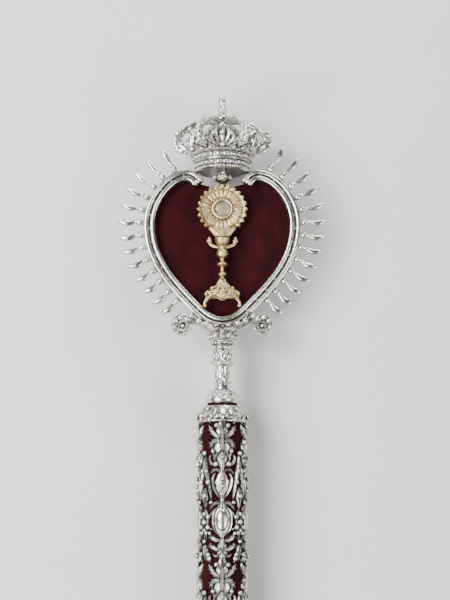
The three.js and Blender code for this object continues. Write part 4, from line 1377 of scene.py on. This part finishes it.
    def petals(self, form, middle, radius, hole):
        """Rings of beads on the disc, and a petal along each flute."""
        for count, start, reach, depth, size in (
            (SUN_FLUTES, 0, 0.93 * radius, 0.9, 1.4),
            (SUN_FLUTES, 0.5, 0.78 * radius, 1.3, 0.9),
            (SUN_FLUTES // 2, 0, 0.72 * radius, 1.7, 1.25),
            (20, 0.5, hole + 3.4, 1.1, 0.95),
        ):
            for i in range(count):
                centre = middle + Vector((*on_circle(i, count, reach, start), depth))
                form.bead(centre, size, sides=10, rows=6)
        for i in range(SUN_FLUTES):
            sine, cosine = on_circle(i, SUN_FLUTES, 1)

            def place(x, y, out, sine=sine, cosine=cosine):
                return middle + Vector((x * cosine + y * sine, y * cosine - x * sine, 1.1 + out))

            inner_end = hole + (4.2 if i % 2 else 5.6)
            path = [(0, inner_end), (0, 0.66 * radius), (0, 0.86 * radius)]
            form.leaf(place, path, 1.25, 0.9, 3, 0.25)

    def neck(self, form, foot, forward):
        """A flaring neck under the disc, with a leaf up each side."""
        flare = [(0, 5.4, 1.5), (2.2, 6.4, 1.7), (5.0, 9.0, 1.8), (8.2, 11.2, 1.5), (10.6, 8.0, 1.2)]
        flare = smooth([(0, *stage) for stage in flare], 4)
        form.bar(facing_plane(0, foot, forward), flare, sides=20)
        for side in (-1, 1):
            place = facing_plane(0, foot, forward + 1.2, side)
            form.leaf(place, [(1, 1.2), (5, 3.4), (9, 7.4), (11, 11)], 2.4, 1.7, 4, 0.2)

    def lens(self, middle, radius):
        """The wafer and the domed lens over it."""

        def facing(point):
            return middle + Vector((point.x, -point.z, point.y))

        wafer = Form()
        disc = [(0.1, -1.8), (radius, -1.8), (radius, -0.45), (radius - 0.2, -0.4), (0.1, -0.4)]
        wafer.turned(disc, place=facing)
        make_piece("wafer_disc", wafer, "toned_wafer", "monstrance_host")
        glass = Form()
        dome = [(0.1, -0.1), (radius - 0.1, -0.1), (radius, 0.0), (radius, 0.7)]
        steps = 8
        for k in range(1, steps + 1):
            lift = 0.5 * math.pi * k / steps
            dome.append((max(radius * math.cos(lift), 0.1), 0.7 + 2.2 * math.sin(lift)))
        glass.turned(dome, place=facing)
        make_piece("lens_dome", glass, "clear_crystal", "monstrance_lens")


class STAFF_OT_crown(bpy.types.Operator):
    """Build the crown: its post, basket, arches and finial"""

    bl_idname = "staff.crown"
    bl_label = "Crown"

    def execute(self, context):
        sizes, heights = sizes_and_heights(context)
        self.post(sizes, heights)
        self.basket(sizes, heights)
        for i in range(CROWN_POINTS):
            self.arch(sizes, heights, i)
        self.finial(sizes, heights)
        return {"FINISHED"}

    def post(self, sizes, heights):
        """The knob that carries the crown, with a spigot above and a tab behind."""
        base, strap = heights.post_base, heights.crown_strap
        knob = [
            (0.1, base), (2.2, base), (3.4, base + 0.8), (6.2, base + 2.4), (7.2, base + 4.2),
            (7.2, base + 5.4), (5.6, base + 7.4), (4.2, base + 8.8), (4.1, base + 12),
            (4.2, strap - 2.6), (5.2, strap - 1.8), (5.2, strap - 0.4),
        ]
        spigot = [(3, strap - 0.3), (3, strap + 4.4), (2, strap + 5.8), (0.1, strap + 6.2)]
        form = Form()
        profile = [*smooth(knob, 3), *spigot]
        form.turned(profile, sides=60, lobes=10, lobe_depth=0.08, lobed=(base + 2, base + 7))
        beads = 8
        for i in range(beads):
            x, z = on_circle(i, beads, 7.0, 0.5)
            form.bead((x, base + 4.8, z), 1.8)
        half = 0.5 * (sizes.gap - heights.plate_front)
        form.bar(facing_plane(0, 0, -half), [(0, base + 2.2, 2.4, half), (0, base + 7, 2.4, half)])
        make_piece("post_knob", form, "old_silver", "crown_post")

    def basket(self, sizes, heights):
        """The flaring band with its leaf points and beads, and the strap inside it."""
        base, rim = heights.crown_base, sizes.crown_band
        low, high = sizes.crown_base_radius, sizes.crown_top_radius
        form = Form()
        self.band(form, sizes, base)
        form.bead_ring(48, low + 0.6, base + 0.07 * rim, 1.1)
        form.bead_ring(24, low + 0.9, base + 0.285 * rim, 1.75, (1.5, 1, 0.8), sides=14, rows=8)
        form.bead_ring(24, low + 1.1, base + 0.285 * rim, 0.8, start=0)
        form.bead_ring(24, low + 2.6, base + 0.68 * rim, 2.1, (1.35, 1, 0.8), sides=14, rows=8)
        form.bead_ring(24, low + 2.6, base + 0.68 * rim, 1.0, start=0)
        form.bead_ring(60, high - 0.4, base + 0.92 * rim, 1.0)
        for i in range(CROWN_POINTS):
            self.fleuron(form, sizes, heights.crown_rim, FULL_TURN * i / CROWN_POINTS)
        self.strap(form, heights.crown_strap, low - 0.8)
        # Faces towards the axis get the darker silver, painted shade inside the crown.
        make_piece("crown_band", form, "old_silver", "crown_basket", inside="shade_painted_silver")

    def band(self, form, sizes, base):
        """The moulded wall of the crown, which rises into a leaf point between two arches."""
        low, high = sizes.crown_base_radius, sizes.crown_top_radius
        rim, wall = sizes.crown_band, sizes.crown_wall
        mouldings = [
            (low - 0.2, 0.0), (low + 0.5, 0.03), (low + 0.8, 0.08), (low + 0.5, 0.13), (low + 0.1, 0.16),
            (low + 0.7, 0.2), (low + 1.0, 0.28), (low + 0.9, 0.37), (low + 0.5, 0.41), (low + 1.5, 0.45),
            (low + 1.8, 0.49), (low + 1.5, 0.53), (low + 2.3, 0.6), (low + 2.7, 0.7), (low + 2.5, 0.78),
            (high - 1.5, 0.83), (high - 0.4, 0.88), (high + 0.1, 0.94), (high, 1.0),
        ]
        outside = stretched(mouldings, 3, 1, 0, rim)
        sides = 36 * CROWN_POINTS
        steps = 6
        rings = []
        for i in range(sides):
            angle = FULL_TURN * i / sides
            rise = max(0.0, math.cos(0.5 * CROWN_POINTS * angle) ** 2 - 0.3) / 0.7
            lobe = 0.9 + 0.1 * abs(math.cos(3 * CROWN_POINTS * angle))
            height = sizes.fleuron_height * rise**0.55 * lobe
            section = list(outside)
            for k in range(1, steps + 1):
                lift = k / steps
                lean = 0.24 * height * math.sin(0.62 * math.pi * lift)
                lean += 0.3 * math.sin(FULL_TURN * lift * 1.5) * rise
                section.append((high + lean, rim + height * lift))
            section += [
                (high + 0.2 * height - 0.9, rim + height),
                (high + 0.12 * height - 1.6, rim + 0.5 * height),
                (high - wall, rim - 1),
                (low - wall + 1.5, 0.5 * rim),
                (low - wall, 0.0),
            ]
            sine, cosine = on_circle(i, sides, 1)
            rings.append([Vector((r * sine, base + h, r * cosine)) for r, h in section])
        form.skin(rings, loop=True)

    def strap(self, form, height, reach):
        """A strap across the crown with a collar round the post's spigot."""
        plane = facing_plane(0, height, 0)
        for side in (-1, 1):
            bar = [(side * 4.4, 1.0, 1.0, 6), (side * 14, 1.0, 1.0, 5), (side * reach, 1.0, 1.0, 5)]
            form.bar(plane, bar, sides=16)
        collar = [(3.3, 0), (6.4, 0), (6.6, 0.6), (6.6, 1.4), (6.4, 2.0), (3.3, 2.0), (3.3, 0)]
        form.turned([(r, height + h) for r, h in collar], sides=40, closed=True)

    def fleuron(self, form, sizes, rim, turn):
        """Foliage over one of the crown's points."""
        high = sizes.crown_top_radius

        def place(x, y, out):
            up = max(y - rim, 0.0)
            lean = 4.0 * math.sin(0.62 * math.pi * min(up / sizes.fleuron_height, 1.15))
            reach = high + lean + out
            angle = turn + x / (high + 3)
            return Vector((reach * math.sin(angle), y, reach * math.cos(angle)))

        form.leaf(place, [(0, rim + y) for y in (1, 8, 14, 19.4)], 3.4, 2.8, 5, 0.25)
        for side in (-1, 1):

            def path(*points, side=side):
                return [(side * x, rim + y) for x, y in points]

            form.leaf(place, path((0.8, 1.5), (3.9, 6), (4.7, 10.6), (2.9, 15.6)), 2.3, 2.6, 4, 0.25)
            form.spray(place, path((1.2, 0.8), (6.2, 2.8), (8.8, 6.2), (8.2, 9.8)), 2.2, 2.5, 3, 2.6)
            form.leaf(place, path((2.0, -0.6), (8.4, 0.4), (12.0, 2.4), (13.2, 5.0)), 2.1, 2.2, 4, 0.25)
            form.bead(place(side * 7.2, rim + 10.6, 1.2), 1.7)
            form.bead(place(side * 11.2, rim - 0.4, 0.8), 1.7)
        form.bead(place(0, rim + 10.2, 2.8), 2.3)
        form.bead(place(0, rim + 1.2, 1.8), 2.5)
        form.bead(place(0, rim + 18.0, 1.2), 1.7)

    def arch(self, sizes, heights, index):
        """One arch: a leafy bar that swells out from the rim, with pearls along its crest."""
        reach = sizes.arch_reach
        turn = FULL_TURN * (index + 0.5) / CROWN_POINTS
        place = upright_plane(turn, heights.crown_rim)
        crest = [
            (5.8, 29.2), (0.36 * reach, 30.4), (0.6 * reach, 27), (0.81 * reach, 22), (0.95 * reach, 16.6),
            (reach - 1.3, 11), (0.94 * reach, 4.8), (0.84 * reach, 1.6), (0.7 * reach, 0.9),
        ]
        inner = [
            (5.8, 26.4), (0.34 * reach, 26.2), (0.5 * reach, 24.2), (0.64 * reach, 20.8),
            (0.735 * reach, 17.8), (0.785 * reach, 14.4), (0.77 * reach, 11.2), (0.69 * reach, 8.4),
            (0.6 * reach, 6.6),
        ]
        crest, inner = smooth(crest, 10), smooth(inner, 10)
        form = Form()
        self.arch_bar(form, place, crest, inner)
        foot = [(24.6, 6.2, 1.2, 2.2), (24.8, 3.4, 1.6, 2.4), (26.4, 1.4, 1.5, 2.4), (30.5, 1.7, 1.6, 2.3)]
        form.bar(place, smooth(foot, 5), sides=10)
        self.pearls(form, place, crest, inner, sizes.arch_pearl_pitch, turn)
        for side in (-1, 1):
            self.arch_leaves(form, place, side)
        name, node = f"leafy_arch_{index + 1}", f"crown_arch_{index + 1}"
        make_piece(name, form, "old_silver", node)

    def arch_bar(self, form, place, crest, inner):
        """The arch between its crest and its inner line, notched and veined like a leaf."""
        sides, notches = 16, 9
        rings = []
        for i, (over, under) in enumerate(zip(crest, inner)):
            middle = (Vector(over) + Vector(under)) / 2
            half = (Vector(over) - Vector(under)) / 2
            lobe = 1 + 0.12 * math.cos(FULL_TURN * notches * i / (len(crest) - 1))
            ring = []
            for j in range(sides):
                angle = FULL_TURN * j / sides
                c, s = math.cos(angle), math.sin(angle)
                vein = 1 - 0.3 * math.exp(-((c / 0.25) ** 2))
                thick = 2.5 * lobe * vein * math.copysign(abs(s) ** 0.6, s)
                at = middle + half * math.copysign(abs(c) ** 0.75, c)
                ring.append(place(at.x, at.y, thick))
            rings.append(ring)
        form.skin(rings)

    def pearls(self, form, place, crest, inner, pitch, turn):
        """Pearls set into an arch's crest at an even pitch."""
        run = measured(crest)
        count = round(run[-1] / pitch)
        for k in range(count):
            wanted = run[-1] * (k + 0.5) / count
            i = next(n for n, done in enumerate(run) if done >= wanted)
            seat = Vector(crest[i]).lerp(Vector(inner[i]), 0.85 / math.dist(crest[i], inner[i]))
            form.bead(place(seat.x, seat.y, 0), 1.8, (1.1, 1, 1), turn)

    def arch_leaves(self, form, place, side):
        """Leaves and beads on one face of an arch."""

        def face(x, y, out):
            return place(x, y, side * (1.6 + out))

        form.spray(face, [(27.5, 3.0), (32.5, 4.2), (36.4, 7.4), (37.8, 12.0)], 2.2, 1.6, 3, 2.4)
        form.spray(face, [(38.0, 13.8), (35.4, 18.6), (30.2, 22.8), (23.5, 25.6)], 1.7, 1.4, 4, 2.0)
        form.leaf(face, [(22.5, 26.4), (17, 28), (10, 28.4)], 1.5, 1.3, 4, 0.2)
        form.bead(face(29.6, 6.6, 0.4), 1.7, sides=10, rows=6)
        form.bead(face(34.2, 9.4, 0.4), 1.5, sides=10, rows=6)

    def finial(self, sizes, heights):
        """The orb, the neck above it and the ball with its point."""
        rim = heights.crown_rim
        orb, centre, ball = rim + sizes.finial_base, rim + sizes.orb_height, rim + sizes.finial_ball
        profile = [
            (0.1, orb), (4.4, orb), (5.2, orb + 0.8), (5.3, orb + 2), (5.0, centre - 2.4),
            (5.5, centre - 1.2), (5.9, centre + 0.6), (5.5, centre + 2.4), (4.2, centre + 4.2),
            (2.9, centre + 5.2), (2.7, centre + 5.8), (3.4, centre + 6.8), (3.9, centre + 8.2),
            (3.9, centre + 9.4), (3.2, centre + 11), (2.7, centre + 12), (2.6, ball - 3.1),
            (2.9, ball - 2.5), (3.4, ball - 1.1), (3.5, ball), (3.3, ball + 1.3), (2.4, ball + 2.6),
            (1.2, ball + 3.3), (0.1, ball + 3.5),
        ]
        form = Form()
        form.turned(smooth(profile, 3))
        make_piece("orb_finial", form, "old_silver", "crown_finial")


class STAFF_OT_studio(bpy.types.Operator):
    """Set up the floor, the soft lights and the camera"""

    bl_idname = "staff.studio"
    bl_label = "Studio"

    def execute(self, context):
        colours, studio = context.scene.staff_colours, context.scene.staff_studio
        self.floor(context.scene)
        self.sky(context.scene, (*colours.sky, 1), studio.sky_strength)
        head, foot = LAID @ Vector((0, studio.lit_head, 0)), LAID @ Vector((0, studio.lit_foot, 0))
        self.lamp(context.scene, "key", head, (-0.9, 0.3, 1.25), (0.8, 0.8), studio.key_power)
        self.lamp(context.scene, "fill", head, (1.1, -0.5, 1.0), (1.0, 0.5), studio.fill_power)
        self.lamp(context.scene, "strip", head, (0.35, 1.15, 0.55), (0.9, 0.2), studio.strip_power)
        self.lamp(context.scene, "foot_key", foot, (-0.9, 0.1, 1.25), (0.8, 1.2), studio.key_power)
        self.camera(context.scene, studio)
        return {"FINISHED"}

    def floor(self, scene):
        """A wide pale floor under the staff."""
        half, squares = 6.0, 12
        mesh = bpy.data.meshes.new("floor")
        work = bmesh.new()
        bmesh.ops.create_grid(work, x_segments=squares, y_segments=squares, size=half)
        work.to_mesh(mesh)
        work.free()
        mesh.materials.append(finish_of("pale_floor"))
        floor = bpy.data.objects.new("floor", mesh)
        scene.collection.objects.link(floor)
        floor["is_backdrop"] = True

    def sky(self, scene, tone, strength):
        """Soft light from all round."""
        scene.world = bpy.data.worlds.new("studio")
        scene.world.use_nodes = True
        sky = scene.world.node_tree.nodes["Background"]
        sky.inputs["Color"].default_value = tone
        sky.inputs["Strength"].default_value = strength

    def lamp(self, scene, name, target, offset, size, power):
        """A soft rectangular lamp that faces its target."""
        data = bpy.data.lights.new(name, "AREA")
        data.shape = "RECTANGLE"
        data.size, data.size_y = size
        data.energy = power
        lamp = bpy.data.objects.new(name, data)
        lamp.location = target + Vector(offset)
        lamp.rotation_euler = (target - lamp.location).to_track_quat("-Z", "Y").to_euler()
        scene.collection.objects.link(lamp)

    def camera(self, scene, studio):
        """The photograph's camera, over the staff and looking towards its crown."""
        data = bpy.data.cameras.new("camera")
        data.sensor_width = 36
        data.lens = 0.5 * data.sensor_width / math.tan(0.5 * studio.camera_view)
        camera = bpy.data.objects.new("camera", data)
        stand = LAID @ Vector((studio.camera_aside, studio.camera_along, studio.camera_height))
        turn = Matrix.Rotation(TILT + studio.camera_pitch, 4, "X")
        camera.matrix_world = Matrix.Translation(stand) @ turn
        scene.collection.objects.link(camera)
        scene.camera = camera


class STAFF_PT_panel(bpy.types.Panel):
    """Lists the staff's pieces, sizes, colours and studio"""

    bl_label = "Processional Staff"
    bl_idname = "STAFF_PT_panel"
    bl_space_type = "VIEW_3D"
    bl_region_type = "UI"
    bl_category = "Staff"

    def draw(self, context):
        layout = self.layout
        for step in STEPS:
            layout.operator(step.bl_idname)
        scene = context.scene
        for group in (scene.staff_sizes, scene.staff_colours, scene.staff_studio):
            box = layout.box()
            for name in group.__annotations__:
                box.prop(group, name)


STEPS = (
    STAFF_OT_pole,
    STAFF_OT_sleeve,
    STAFF_OT_knops,
    STAFF_OT_ferrule,
    STAFF_OT_stem,
    STAFF_OT_bracket,
    STAFF_OT_heart,
    STAFF_OT_panel,
    STAFF_OT_rays,
    STAFF_OT_monstrance,
    STAFF_OT_crown,
    STAFF_OT_studio,
)
CLASSES = (StaffSizes, StaffColours, StaffStudio, *STEPS, STAFF_PT_panel)


def register():
    for cls in CLASSES:
        bpy.utils.register_class(cls)
    bpy.types.Scene.staff_sizes = PointerProperty(type=StaffSizes)
    bpy.types.Scene.staff_colours = PointerProperty(type=StaffColours)
    bpy.types.Scene.staff_studio = PointerProperty(type=StaffStudio)


def unregister():
    del bpy.types.Scene.staff_studio
    del bpy.types.Scene.staff_colours
    del bpy.types.Scene.staff_sizes
    for cls in reversed(CLASSES):
        bpy.utils.unregister_class(cls)


def main():
    register()
    bpy.ops.staff.pole()
    bpy.ops.staff.sleeve()
    bpy.ops.staff.knops()
    bpy.ops.staff.ferrule()
    bpy.ops.staff.stem()
    bpy.ops.staff.bracket()
    bpy.ops.staff.heart()
    bpy.ops.staff.panel()
    bpy.ops.staff.rays()
    bpy.ops.staff.monstrance()
    bpy.ops.staff.crown()
    bpy.ops.staff.studio()
    for name, box in (("cad", CAD_BOX), ("visual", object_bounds())):
        [[float(number) for number in corner] for corner in box]


if __name__ == "__main__":
    main()
